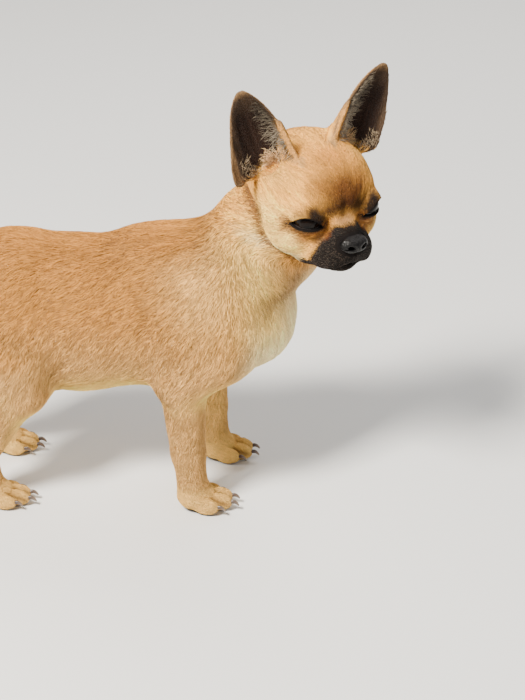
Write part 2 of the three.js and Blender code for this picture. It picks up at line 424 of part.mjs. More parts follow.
{
  // the head lies on a grid of its own frame, finer over the face
  const frame = { M: HEAD_FRAME, o: HEAD_POSITION };
  const eyeRadii = [EYE_RADIUS, EYE_RADIUS, EYE_RADIUS];
  const jawLine = (g) => [[13 - g, -70], [13 - g, -25 + g], [24, -24.4 + g], [52 + g, -21.6 + g], [52 + g, -70]].map(([x, z]) => [z, x]);
  const jawShare = prism(jawLine(0), -40, 40, 1, frame), jawRoom = prism(jawLine(GAP), -40, 40, 1, frame);
  const front = (n) => cleanFacets(wholeField, [-6, -46, -66], [62, 46, 42], STEP.face, 0, frame, n).intersect(ahead(CUT.head)).intersect(ahead(CUT.face));
  solids.lower_jaw = best((n) => largest(front(n).intersect(jawShare)));
  for (const [name, s] of [['eye_right', -1], ['eye_left', 1]]) solids[name] = ball(eyeAt(s), eyeRadii, 10, 8);
  solids.nose = noseSolid();
  solids.face = best((n) => {
    let face = front(n).subtract(jawRoom).subtract(noseSolid(GAP));
    for (const s of [-1, 1]) face = face.subtract(ball(eyeAt(s), eyeRadii, 10, 8, GAP)).subtract(eyeOpening(s));
    return largest(face);
  });
  solids.head = best((n) => {
    let head = largest(cleanFacets(wholeField, [-52, -52, -76], [74, 52, 48], STEP.skull, 0, frame, n).intersect(ahead(CUT.head)).intersect(behind(CUT.face)));
    for (const s of [-1, 1]) head = head.subtract(ball(eyeAt(s), eyeRadii, 10, 8, GAP));
    return head;
  });
  for (const [name, e] of Object.entries(EARS)) solids[name] = best((n) => largest(earSolid(e).subtract(cleanFacets(wholeField, [-50, -50, -68], [66, 50, 44], 3.0, GAP + 0.55, frame, n))), 0.02, 5);
}
{
  // the tail: rings around its curve, closed at the tip
  const rings = 11, sides = 9, pts = [], tri = [];
  for (let i = 0; i <= rings; i++) {
    const t = i / rings, p = tailPoint(t), ahead1 = tailPoint(Math.min(1, t + 0.05)), back1 = tailPoint(Math.max(0, t - 0.05));
    const z = unit(sub(ahead1, back1)), x = unit(cross([0, 1, 0], z)), y = cross(z, x), r = tailRadius(t) * (i === rings ? 0.55 : 1);
    for (let k = 0; k < sides; k++) { const a = 2 * Math.PI * k / sides; pts.push(add(add(p, mul(x, r * Math.cos(a))), mul(y, r * Math.sin(a)))); }
  }
  const end = tailPoint(1), before = tailPoint(0.95);
  pts.push(tailPoint(0), add(end, mul(unit(sub(end, before)), tailRadius(1) * 0.8)));
  const first = pts.length - 2, last = pts.length - 1;
  for (let i = 0; i < rings; i++) for (let k = 0; k < sides; k++) {
    const a = i * sides + k, b = i * sides + (k + 1) % sides;
    tri.push(a, b, b + sides, a, b + sides, a + sides);
  }
  for (let k = 0; k < sides; k++) { const j = (k + 1) % sides; tri.push(first, j, k, last, rings * sides + k, rings * sides + j); }
  let tube = solid(pts, tri);
  if (tube.volume() < 0) { for (let i = 0; i < tri.length; i += 3) [tri[i + 1], tri[i + 2]] = [tri[i + 2], tri[i + 1]]; tube = solid(pts, tri); }
  solids.tail = best((n) => largest(tube.subtract(cleanFacets(wholeField, [-150, -40, 60], [-60, 40, 170], 5, GAP + 0.3, null, n))));
}
{
  // claws: short curved cones standing just clear of the toes
  const CLAW = { length: 2.9, radius: 1.25, sides: 5, clear: 0.35 };
  function claw(p, yaw) {
    const pts = [], tri = [], rows = [0, 0.5, 1], n = CLAW.sides;
    const c = Math.cos(yaw * RAD), s = Math.sin(yaw * RAD);
    rows.forEach((t) => {
      const x = CLAW.length * t, z = -2.2 * t * t, r = CLAW.radius * (1 - 0.68 * t);
      for (let i = 0; i < n; i++) { const a = 2 * Math.PI * (i + 0.25) / n, y = r * 0.85 * Math.cos(a); pts.push([p[0] + x * c - y * s, p[1] + x * s + y * c, p[2] + z + r * Math.sin(a)]); }
    });
    for (let k = 0; k < rows.length - 1; k++) for (let i = 0; i < n; i++) { const j = (i + 1) % n, a = k * n; tri.push(a + i, a + j, a + n + j, a + i, a + n + j, a + n + i); }
    for (let i = 1; i < n - 1; i++) { tri.push(0, i + 1, i); const l = (rows.length - 1) * n; tri.push(l, l + i, l + i + 1); }
    const m = solid(pts, tri);
    if (m.volume() > 0) return m;
    for (let i = 0; i < tri.length; i += 3) [tri[i + 1], tri[i + 2]] = [tri[i + 2], tri[i + 1]];
    return solid(pts, tri);
  }
  for (const [name, q] of Object.entries(PAWS)) TOES.forEach((t, i) => {
    const c = toePlace(q, t), yaw = t[0] * q.splay, go = [Math.cos(yaw * RAD), Math.sin(yaw * RAD), 0];
    // the toe's surface straight ahead, a little above its middle
    let reach = q.length * 0.15, start = add(c, [0, 0, 0.5]);
    while (wholeField(add(start, mul(go, reach))) < CLAW.clear) reach += 0.05;
    const number = q.y < 0 ? 4 - i : i + 1;
    solids['claw_' + name + '_' + number] = claw(add(start, mul(go, reach)), yaw);
  });
}
// ---- the finished group: origin on the floor under the middle of the box --------------------
const MATERIAL = {
  nose: [NOSE_BLACK, 0.35], eye: [EYE_DARK, 0.05], claw: [CLAW_HORN, 0.5], ear: [EAR_FAWN, 0.9],
  lower_jaw: [MASK, 0.9], neck: [CREAM, 0.9], forepaw: [CREAM, 0.9], hindpaw: [CREAM, 0.9], face: [SABLE, 0.9],
};
const box = Object.values(solids).map((m) => m.boundingBox());
const middle = [0, 1].map((i) => (Math.min(...box.map((b) => b.min[i])) + Math.max(...box.map((b) => b.max[i]))) / 2);
const group = new THREE.Group();
for (const [name, m] of Object.entries(solids)) {
  const g = m.getMesh(), geometry = new THREE.BufferGeometry();
  geometry.setAttribute('position', new THREE.BufferAttribute(new Float32Array(g.vertProperties), 3));
  geometry.setIndex(new THREE.BufferAttribute(new Uint32Array(g.triVerts), 1));
  geometry.computeVertexNormals();
  const [color, roughness] = Object.entries(MATERIAL).find(([key]) => name.startsWith(key))?.[1] ?? [FAWN, 0.9];
  const mesh = new THREE.Mesh(geometry, new THREE.MeshStandardMaterial({ color, roughness, metalness: 0 }));
  mesh.name = name;
  group.add(mesh);
}
group.position.set(-middle[0], -middle[1], -SOLE_Z);
export default group;
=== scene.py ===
import bpy, math, time, numpy as np
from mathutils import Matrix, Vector


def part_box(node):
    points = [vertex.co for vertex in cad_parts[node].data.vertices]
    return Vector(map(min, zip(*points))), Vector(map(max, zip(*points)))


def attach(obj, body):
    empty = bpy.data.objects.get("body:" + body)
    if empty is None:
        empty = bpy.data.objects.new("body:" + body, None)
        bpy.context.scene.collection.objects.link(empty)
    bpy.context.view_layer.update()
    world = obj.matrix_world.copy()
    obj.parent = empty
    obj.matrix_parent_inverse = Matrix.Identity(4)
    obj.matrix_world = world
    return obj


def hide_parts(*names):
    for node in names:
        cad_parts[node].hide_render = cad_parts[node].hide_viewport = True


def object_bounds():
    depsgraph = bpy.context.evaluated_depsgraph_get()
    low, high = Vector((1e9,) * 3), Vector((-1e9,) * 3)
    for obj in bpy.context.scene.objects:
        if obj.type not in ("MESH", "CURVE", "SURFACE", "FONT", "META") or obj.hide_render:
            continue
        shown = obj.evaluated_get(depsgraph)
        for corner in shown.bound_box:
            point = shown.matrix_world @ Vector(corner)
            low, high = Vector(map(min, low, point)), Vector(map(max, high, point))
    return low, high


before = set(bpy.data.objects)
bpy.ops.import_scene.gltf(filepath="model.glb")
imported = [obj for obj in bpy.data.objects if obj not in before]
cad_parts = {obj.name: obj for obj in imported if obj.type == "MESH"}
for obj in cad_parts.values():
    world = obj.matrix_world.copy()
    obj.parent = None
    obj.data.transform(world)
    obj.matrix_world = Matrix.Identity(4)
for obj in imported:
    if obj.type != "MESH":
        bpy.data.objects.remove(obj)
CAD_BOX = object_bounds()

# A smooth-coated chihuahua puppy. The shape is computed in millimetres in a working frame
# (withers over x = 0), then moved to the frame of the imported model, in metres.
RNG = np.random.default_rng(71)

# ============================== shape fields =====================================
def rotm(yaw=0,pitch=0,roll=0):
    cy,sy=math.cos(math.radians(yaw)),math.sin(math.radians(yaw))
    cp,sp=math.cos(math.radians(pitch)),math.sin(math.radians(pitch))
    cr,sr=math.cos(math.radians(roll)),math.sin(math.radians(roll))
    return np.array([[cy,-sy,0],[sy,cy,0],[0,0,1]])@np.array([[cp,0,sp],[0,1,0],[-sp,0,cp]])@np.array([[1,0,0],[0,cr,-sr],[0,sr,cr]])
def unit(a): a=np.asarray(a,float); return a/np.linalg.norm(a)
class Ell:
    def __init__(s,name,c,r,turn=(0,0,0),k=0):
        s.name=name; s.c=np.array(c,float); s.r=np.array(r,float); s.R=rotm(*turn) if any(turn) else None; s.k=k; s.rad=max(r); s.mid=s.c
    def moved(s,M,o):
        t=Ell(s.name,s.c,s.r,(0,0,0),s.k); t.c=M@s.c+o; t.mid=t.c; t.R=M@(s.R if s.R is not None else np.eye(3)); return t
    def __call__(s,p):
        q=p-s.c
        if s.R is not None: q=q@s.R
        a=q/s.r
        k0=np.sqrt(np.einsum('ij,ij->i',a,a)); a=a/s.r; k1=np.sqrt(np.einsum('ij,ij->i',a,a))
        return k0*(k0-1)/np.maximum(k1,1e-9)
class Limb:
    def __init__(s,name,a,b,r1,r2,k=0):
        s.name=name; s.a=np.array(a,float); s.b=np.array(b,float); s.r1=r1; s.r2=r2; s.k=k
        s.mid=(s.a+s.b)/2; s.rad=np.linalg.norm(s.b-s.a)/2+max(r1,r2)
    def moved(s,M,o): return Limb(s.name,M@s.a+o,M@s.b+o,s.r1,s.r2,s.k)
    def __call__(s,p):
        ba=s.b-s.a; l2=ba@ba; rr=s.r1-s.r2; a2=l2-rr*rr; il2=1/l2
        pa=p-s.a; y=pa@ba; z=y-l2
        x=pa*l2-y[:,None]*ba; x2=np.einsum('ij,ij->i',x,x)
        y2=y*y*l2; z2=z*z*l2; k=np.sign(rr)*rr*rr*x2
        d=(np.sqrt(x2*a2*il2)+y*rr)*il2-s.r1
        m1=np.sign(z)*a2*z2>k; m2=np.sign(y)*a2*y2<k
        return np.where(m1,np.sqrt(x2+z2)*il2-s.r2,np.where(m2,np.sqrt(x2+y2)*il2-s.r1,d))
def smin(a,b,k):
    if k<=0: return np.minimum(a,b)
    h=np.maximum(k-np.abs(a-b),0)/k
    return np.minimum(a,b)-h*h*h*k/6
def smax(a,b,k): return -smin(-a,-b,k)

# ---- driving dimensions, mm, in the working frame (withers at x = 0)
EYE_RADIUS=7.7; EYE_CENTRE=(23.6,15.9,1.6); LID=1.15
HEAD_POSITION=np.array([74.,-9.,180.2]); HEAD_FRAME=rotm(-56,9,0)
BODY=[Ell('ribcage',(4,0,106),(54,35,43.5),(0,2,0)),Ell('abdomen',(-44,0,102.5),(50,33,44.5),(0,-1,0),16),
 Ell('croup',(-78,0,116.5),(31,28,33),(0,14,0),16),Ell('forechest',(42,1,108),(27,27,32),(0,-20,0),18),
 Ell('withers',(4,0,139),(30,17,14),(0,4,0),18),
 Ell('shoulder_right',(25,-22,108),(27,15,34),(0,-14,0),12),Ell('shoulder_left',(25,22,108),(27,15,34),(0,-14,0),12),
 Ell('haunch_right',(-77,-19,91),(29,15.5,37),(0,14,0),12),Ell('haunch_left',(-77,19,91),(29,15.5,37),(0,14,0),12)]
NECK=[Limb('neck_base_crest',(27,0,126.7),(51,-3,152.7),26.4,23.6,20),Limb('neck_top_crest',(51,-3,152.7),(65,-7,172.7),23.6,21.5,10),
 Limb('neck_base_throat',(33,0,121.3),(57,-3,147.3),26.4,23.6,14),Limb('neck_top_throat',(57,-3,147.3),(71,-7,167.3),23.6,21.5,10)]
def foreleg(s,dx): return [Limb('upper_arm',(28+dx,s*24,92),(9+dx,s*25,78),16,14.5,12),Limb('forearm',(11+dx,s*25,78),(13+dx,s*24,34),13.4,9.5,8),Limb('pastern',(13+dx,s*24,34),(15+dx,s*24,14),9.3,8.6,5)]
def hindleg(s,dx): return [Limb('lower_thigh',(-78+dx*.4,s*22,84),(-71+dx*.8,s*25,70),21,14,12),Limb('shank',(-74+dx*.8,s*25.5,70),(-91+dx,s*25.5,36),12.5,8.2,8),
  Limb('calf',(-86+dx*.8,s*24.5,70),(-97+dx,s*25.5,41),9,5,8),Limb('hock',(-95+dx,s*25.5,36),(-93+dx,s*25.5,12),7.6,7.4,4)]
TOES=[(-1,-0.16,0.92),(-0.36,0.06,1),(0.36,0.06,1),(1,-0.16,0.92)]
PAWS={'forepaw_right':dict(x=17,y=-24.5,length=27,width=21,height=8.2,splay=9),'forepaw_left':dict(x=25,y=24.5,length=27,width=21,height=8.2,splay=9),
 'hindpaw_right':dict(x=-90,y=-26,length=26,width=19,height=7.6,splay=7),'hindpaw_left':dict(x=-94,y=26,length=26,width=19,height=7.6,splay=7)}
def toe_place(q,t): return (q['x']+q['length']*(0.36+t[1]),q['y']+t[0]*q['width']*0.36,q['height']*0.62)
def paw(q): return [Ell('palm',(q['x'],q['y'],q['height']*0.88),(q['length']*0.40,q['width']*0.46,q['height']*0.98),(0,0,0),5)]+[
  Ell('toe%d'%i,toe_place(q,t),(q['length']*0.30*t[2],q['width']*0.155,q['height']*0.70*t[2]),(t[0]*q['splay'],0,0),1.6) for i,t in enumerate(TOES)]
LEGS=[foreleg(-1,0)+paw(PAWS['forepaw_right']),foreleg(1,8)+paw(PAWS['forepaw_left']),hindleg(-1,0)+paw(PAWS['hindpaw_right']),hindleg(1,-4)+paw(PAWS['hindpaw_left'])]
TAIL_FROM=(-99,0,125); TAIL_LENGTH=96
def tail_point(t):
    p=np.array(TAIL_FROM,float); n=24
    for i in range(n):
        u=t*(i+0.5)/n; down=math.radians(28+58*min(1,u*2.2)-34*max(0,u-0.55)/0.45)
        p=p+np.array([-math.cos(down),0.06*math.sin(u*3),-math.sin(down)])*TAIL_LENGTH*t/n
    return p
def tail_radius(t): return 8.6-5.2*t**0.75
TAIL=[Limb('tail%d'%i,tail_point(i/9),tail_point((i+1)/9),tail_radius(i/9),tail_radius((i+1)/9),3) for i in range(9)]
HEAD=[Ell('cranium',(-2,0,2),(31,31,26.2)),Ell('forehead',(12,0,6.5),(19.5,24,20),(0,10,0),8),
 Ell('brow_right',(19,-12,9),(8,10,7),(0,0,0),6),Ell('brow_left',(19,12,9),(8,10,7),(0,0,0),6),
 Ell('cheek_right',(8,-17.5,-11),(20,13,14),(0,0,0),8),Ell('cheek_left',(8,17.5,-11),(20,13,14),(0,0,0),8),
 Ell('face',(20,0,-10),(15,18,13),(0,0,0),8),Ell('lip_corner_right',(21,-12,-19),(11,8,8),(0,0,0),6),Ell('lip_corner_left',(21,12,-19),(11,8,8),(0,0,0),6),
 Ell('bridge',(31,0,-4.5),(12,7.5,6),(0,8,0),5),Ell('muzzle',(31.5,0,-12.5),(12.5,13.5,9.8),(0,6,0),5),
 Ell('flew_right',(32.5,-8.5,-17),(9.5,7.5,8),(18,0,0),4),Ell('flew_left',(32.5,8.5,-17),(9.5,7.5,8),(-18,0,0),4),Ell('jaw',(25,0,-22.5),(16,12,6.5),(0,0,0),4),
 Limb('ear_root_right',(-1,-14.2,17),(2.8,-22.6,43),7.0,1.2,7),Limb('ear_root_left',(-4,12.4,17),(-1.4,16.9,42),7.0,1.2,7)]
NOSE=dict(centre=(41,0,-7.3),radii=(5.0,7.3,4.6))
EARS={'ear_right':dict(side=-1,base=(-3.9,-22.8,15.6),up=(0.035,-0.405,0.90),open=(0.92,-0.35,0.10),length=51.0,flare=0.20),
      'ear_left':dict(side=1,base=(-4.3,21.9,15.7),up=(0.083,0.297,0.952),open=(0.975,-0.05,0.10),length=48.0,flare=-0.12)}
EAR_HALF_WIDTH=15.6; EAR_THICKNESS=1.6
def eye_at(s): return np.array([EYE_CENTRE[0],s*EYE_CENTRE[1],EYE_CENTRE[2]])
def to_head(p): return (p-HEAD_POSITION)@HEAD_FRAME
def from_head(q): return np.asarray(q,float)@HEAD_FRAME.T+HEAD_POSITION
HEADW=[e.moved(HEAD_FRAME,HEAD_POSITION) for e in HEAD]
EYES_W=[Ell('lid_%d'%s,from_head(eye_at(s)),(EYE_RADIUS+LID,)*3,(0,0,0),3.2) for s in (-1,1)]
NAPE=Limb('nape',(50,-3,152),from_head((-6,0,-8)),24,20,12)
def joined(L,p,d=None,cull=None):
    for s in L:
        if cull is None: f=s(p); d=f if d is None else smin(d,f,s.k); continue
        # points far from this piece keep their value
        q=p-s.mid; near=np.einsum('ij,ij->i',q,q)<(s.rad+cull)**2
        if d is None: d=np.full(len(p),1e3)
        if not near.any(): continue
        f=s(p[near]); d[near]=smin(d[near],f,s.k)
    return d
class EarField:
    def __init__(s,e):
        s.e=e; u=unit(e['up']); n=np.array(e['open'],float); n=unit(n-u*(n@u)); w=np.cross(u,n)
        s.M=HEAD_FRAME@np.stack([u,w,n],1); s.o=from_head(e['base']); s.mid=s.o+s.M[:,0]*e['length']*0.45; s.rad=e['length']*0.62; s.k=3
    def local(s,p): return (p-s.o)@s.M
    def place(s,l): return l@s.M.T+s.o
    def half(s,t,w=None):
        if w is not None: return s.half(t)*np.where(w*s.e['side']>0,1+s.e['flare']*np.exp(-((t-0.18)/0.24)**2),1)
        t0=np.maximum(t,0); low=np.clip((0.16-t)/0.16,0,1.4); return EAR_HALF_WIDTH*np.power(np.clip(1-t0**1.9,0,1),0.70)*(1-0.34*low*low)
    def cup(s,t,w):
        t0=np.clip(t,0,1); return (0.034*np.power(1-t0,1.1)+0.012)*w*w-2.2*np.sin(np.pi*t0)
    def __call__(s,p,inset=0.0,edge=0.0):
        l=s.local(p); t=l[:,0]/s.e['length']; tc=np.clip(t,0,1)
        th=EAR_THICKNESS-0.6*tc-inset
        g=s.cup(tc,l[:,1]); gw=2*(0.034*np.power(1-tc,1.1)+0.012)*l[:,1]
        shell=(np.abs(l[:,2]-g)-th)/np.sqrt(1+gw*gw)
        side=(np.abs(l[:,1])-s.half(t,l[:,1])+edge)*0.8
        end=np.maximum(l[:,0]-s.e['length']*0.985+edge,-l[:,0]-4.6+5.0*np.minimum(np.abs(l[:,1])/(EAR_HALF_WIDTH*0.66),1.2)**2)
        return smax(smax(shell,side,1.0),end,1.0)
EARF={k:EarField(e) for k,e in EARS.items()}
def body_field(p,cull=None):
    d=joined(NECK,p,joined(BODY,p,None,cull),cull)
    for leg in LEGS: d=smin(d,joined(leg,p,None,cull),10)
    return d
def head_field(p,cull=None): return joined(EYES_W,p,joined(HEADW,p,None,cull),cull)
def whole(p,cull=None,ears=True,tail=True):
    p=np.asarray(p,float)
    d=smin(joined([NAPE],p,body_field(p,cull),cull),head_field(p,cull),7)
    if tail: d=smin(d,joined(TAIL,p,None,cull),5)
    if ears:
        for e in EARF.values():
            q=p-e.mid; near=np.einsum('ij,ij->i',q,q)<(e.rad+(cull or 1e3))**2
            if near.any(): d[near]=smin(d[near],e(p[near]),e.k)
    return d

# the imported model's origin, from the place of one eye
_lo, _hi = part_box("eye_left")
SHIFT = from_head(eye_at(1)) - (np.array(_lo) + np.array(_hi)) * 500.0
def to_row(p): return (np.asarray(p) - SHIFT) * 0.001
# ============================== skin, under the coat ==============================
def smoothstep(a,b,x):
    t=np.clip((x-a)/(b-a),0,1); return t*t*(3-2*t)
def bump(x,s): return np.exp(-(x/s)**2)
def shares(p):
    """soft shares of the parts of the body at points p"""
    q=to_head(p); x,y,z=p[:,0],p[:,1],p[:,2]
    head=smoothstep(-9,7,0.30*(x-60)-0.15*(y+4)+0.94*(z-158))
    ear=np.zeros(len(p)); front=np.zeros(len(p))
    for e in EARF.values():
        l=e.local(p); t=l[:,0]/e.e['length']; tc=np.clip(t,0,1); g=e.cup(tc,l[:,1])
        inside=(np.abs(l[:,1])<e.half(tc)+3)&(np.abs(l[:,2]-g)<5)&(t<1.08)
        ear=np.maximum(ear,np.where(inside,smoothstep(0.0,0.14,t),0)); front=np.where(inside&(l[:,2]>g),1,front)
    neck=smoothstep(-14,10,0.61*(x-50)-0.04*(y+1)+0.79*(z-135))*(1-head)
    tail=smoothstep(9,2,joined(TAIL,p))*smoothstep(-98,-107,x)*(np.abs(y)<14)
    low=(1-smoothstep(26,80,z))*(1-tail); foot=(1-smoothstep(12,22,z))*(1-tail)
    return dict(q=q,head=head,ear=ear,front=front,neck=neck,low=low,foot=foot,tail=tail)
def coat_depth(p,w):
    """how far the skin lies under the tips of the coat, mm"""
    q=w['q']; z=p[:,2]
    d=1.5+0.5*smoothstep(90,62,z)
    d=d*(1-w['low'])+1.1*w['low']
    d=d*(1-w['foot'])+0.55*w['foot']
    d=d*(1-w['neck'])+1.9*w['neck']
    face=smoothstep(-16,22,q[:,0])
    cheek=bump(q[:,0]-2,14)*smoothstep(6,-12,q[:,2])
    hd=1.3*(1-face)+0.60*face+0.6*cheek*(1-face)
    d=d*(1-w['head'])+hd*w['head']
    return d*(1-w['tail'])+1.3*w['tail']
EYEBALL=7.15
OPENING=dict(width=15.4,above=4.2,below=1.9,outward=36,tilt=-1)
def eye_frame(s):
    a=math.radians(s*OPENING['outward']); x=unit((math.cos(a),math.sin(a),-0.10)); y=unit(np.cross((0,0,1),x)); z=np.cross(x,y)
    c=math.cos(math.radians(OPENING['tilt'])); d=math.sin(math.radians(OPENING['tilt']))*s
    return np.stack([x,y*c+z*d,z*c-y*d],1)
EYE_FRAMES={s:eye_frame(s) for s in (-1,1)}
def lid_edge(l):
    """distance outside the almond between the lids, in the eye's frame (x out of the head)"""
    a=l[:,1]/(OPENING['width']/2); b=l[:,2]+0.2+2.3*np.minimum(a*a,1.5)
    s=np.clip(1-a*a,0,1)
    return np.maximum(np.maximum(b-OPENING['above']*s**0.62,-b-OPENING['below']*s**0.8)*0.85,(np.abs(a)-1)*OPENING['width']/2*0.9)
def mouth_line(q):
    """height over the mouth, measured in the head's frame"""
    return q[:,2]-(-20.2-0.030*np.clip(40-q[:,0],0,None)**1.5-0.010*q[:,1]**2)
def face_detail(d,q):
    """lids, lips, folds, the stop and the whisker pads on the skin of the head; d is the plain field"""
    x,y,z=q[:,0],q[:,1],q[:,2]; ay=np.abs(y)
    # the stop and the furrow up the forehead
    d=d+0.8*bump(y,2.6)*bump(z-1.5,7)*smoothstep(22,28,x)+0.35*bump(y,2.2)*smoothstep(2,9,z)*smoothstep(26,12,z)*smoothstep(8,14,x)
    # the fold from the inner corner of the eye down beside the muzzle
    d=d+0.55*bump(ay-(9.0+0.35*(30-x)),1.6)*bump(z+7.5,4.5)*smoothstep(18,23,x)*smoothstep(36,30,x)
    # lips: a groove along the mouth, the lower lip set in behind the upper
    m=mouth_line(q); on=smoothstep(19.5,24,x)
    d=d+1.1*bump(m,0.55)*on+0.9*smoothstep(0.4,-0.6,m)*on*smoothstep(-9,-3,m)
    # the split of the upper lip
    d=d+0.7*bump(y,0.6)*smoothstep(37,40,x)*smoothstep(-9.5,-12,z)*smoothstep(-22,-19,z)
    # a soft pad of whiskers on each side
    d=d-0.5*bump(np.sqrt((x-34)**2+(z+14)**2),5)*smoothstep(5,8,ay)
    for s in (-1,1):
        l=(q-eye_at(s))@EYE_FRAMES[s]; e=lid_edge(l); r=np.linalg.norm(l,axis=1); near=(r<15)&(l[:,0]>-1)
        if not near.any(): continue
        up=smoothstep(-1,1,l[:,2])
        f=np.where(near,smin(d,r-(EYEBALL+1.15),1.8),d)                   # the lids lie over the ball
        f=f-near*(0.30*bump(e-0.7,0.6)*(l[:,0]>0))                      # their rims stand a little proud
        f=f+near*(0.24*bump(e-2.7,0.8)*up+0.20*bump(e-2.9,0.9)*(1-up))*smoothstep(0,3,l[:,0])    # the creases over and under them
        ball=r-(EYEBALL+0.12)
        gap=np.maximum(e,1.5-l[:,0])
        f=smax(f,-ball,0.25)
        f=smax(f,-gap,0.7)
        d=np.where(near|(r<9),f,d)
    return d
def along(p,a,b):
    """distance from the line a-b"""
    a=np.array(a,float); b=np.array(b,float); t=np.clip((p-a)@(b-a)/((b-a)@(b-a)),0,1); return np.linalg.norm(p-a-t[:,None]*(b-a),axis=1)
def body_detail(p,d):
    """what shows of shoulder, elbow, flank and thigh through a short coat"""
    m=p*np.array([1,0,1])+np.abs(p)*np.array([0,1,0])
    g=1.9*bump(along(m,(-9,24,136),(-7,36,92)),6)                 # behind the shoulder blade
    g+=1.5*bump(along(m,(20,25,140),(46,22,112)),6)               # before it
    g+=1.9*bump(along(m,(-6,32,84),(4,31,70)),5)                  # behind the elbow
    g+=2.4*blob(m,(-50,31,112),(15,12,20))                        # flank
    g+=1.2*bump(along(m,(-50,26,88),(-64,26,74)),6)               # fold before the stifle
    g+=0.5*bump(p[:,1],3.5)*smoothstep(128,138,p[:,2])*smoothstep(35,20,p[:,0])   # over the backbone
    g-=0.8*blob(m,(-64,13,146),(9,7,6))+0.9*blob(m,(9,27,80),(10,8,10))+0.6*blob(m,(36,20,104),(10,12,11))   # hip, elbow, point of the shoulder
    g+=0.8*bump(p[:,1],4)*smoothstep(50,62,p[:,0])*smoothstep(150,135,p[:,2])      # between the breast muscles
    return d+g
def jaw_crease(p,d):
    """the hollow where cheek and jaw lie over the neck"""
    q=to_head(p); near=(q[:,0]>-22)&(q[:,0]<32)&(q[:,2]<10)&(q[:,2]>-34)&(d<9)
    if near.any():
        a=head_field(p[near],16); b=joined(NECK+[NAPE],p[near],None,16); x=q[near,0]
        d=d.copy(); d[near]+=2.3*bump(a-b+0.8,2.8)*smoothstep(-22,-12,x)*smoothstep(10,0,q[near,2])
    return d
def blob(q,c,r):
    """1 at c, falling off smoothly at the radii r"""
    a=(q-np.array(c,float))/np.array(r,float); return np.exp(-np.einsum('ij,ij->i',a,a))
def ear_detail(p,d):
    for e in EARF.values():
        q=p-e.mid; near=np.einsum('ij,ij->i',q,q)<(e.rad+10)**2
        if not near.any(): continue
        l=e.local(p[near]); t=l[:,0]/e.e['length']; tc=np.clip(t,0,1)
        f=e(p[near],0.34-0.10*tc,0.7)
        # low ridges that run up the inside of the cup
        g=l[:,2]-e.cup(tc,l[:,1])
        f=f-0.22*np.cos(l[:,1]*1.5)*smoothstep(0.10,0.2,t)*smoothstep(0.72,0.5,t)*(g>0)
        dd=smin(d[near],f,4.0)
        # the hollow of the ear's root
        h=l-np.array([4.0,-1.0*e.e['side'],3.6]); hollow=np.sqrt((h[:,0]/7.0)**2+(h[:,1]/6.5)**2+(h[:,2]/3.8)**2)
        dd=smax(dd,-(hollow-1)*3.6,1.6)
        d=d.copy(); d[near]=dd
    return d
def skin(p,cull=16,detail=True):
    p=np.asarray(p,float)
    d=whole(p,cull,ears=False); w=shares(p)
    d=jaw_crease(p,body_detail(p,d+coat_depth(p,w)))
    hd=w['head']>0.02
    if detail and hd.any(): d[hd]=face_detail(d[hd],w['q'][hd])
    d=ear_detail(p,d)
    return np.maximum(d,-(p[:,2]-0.02))       # soles flat on the floor
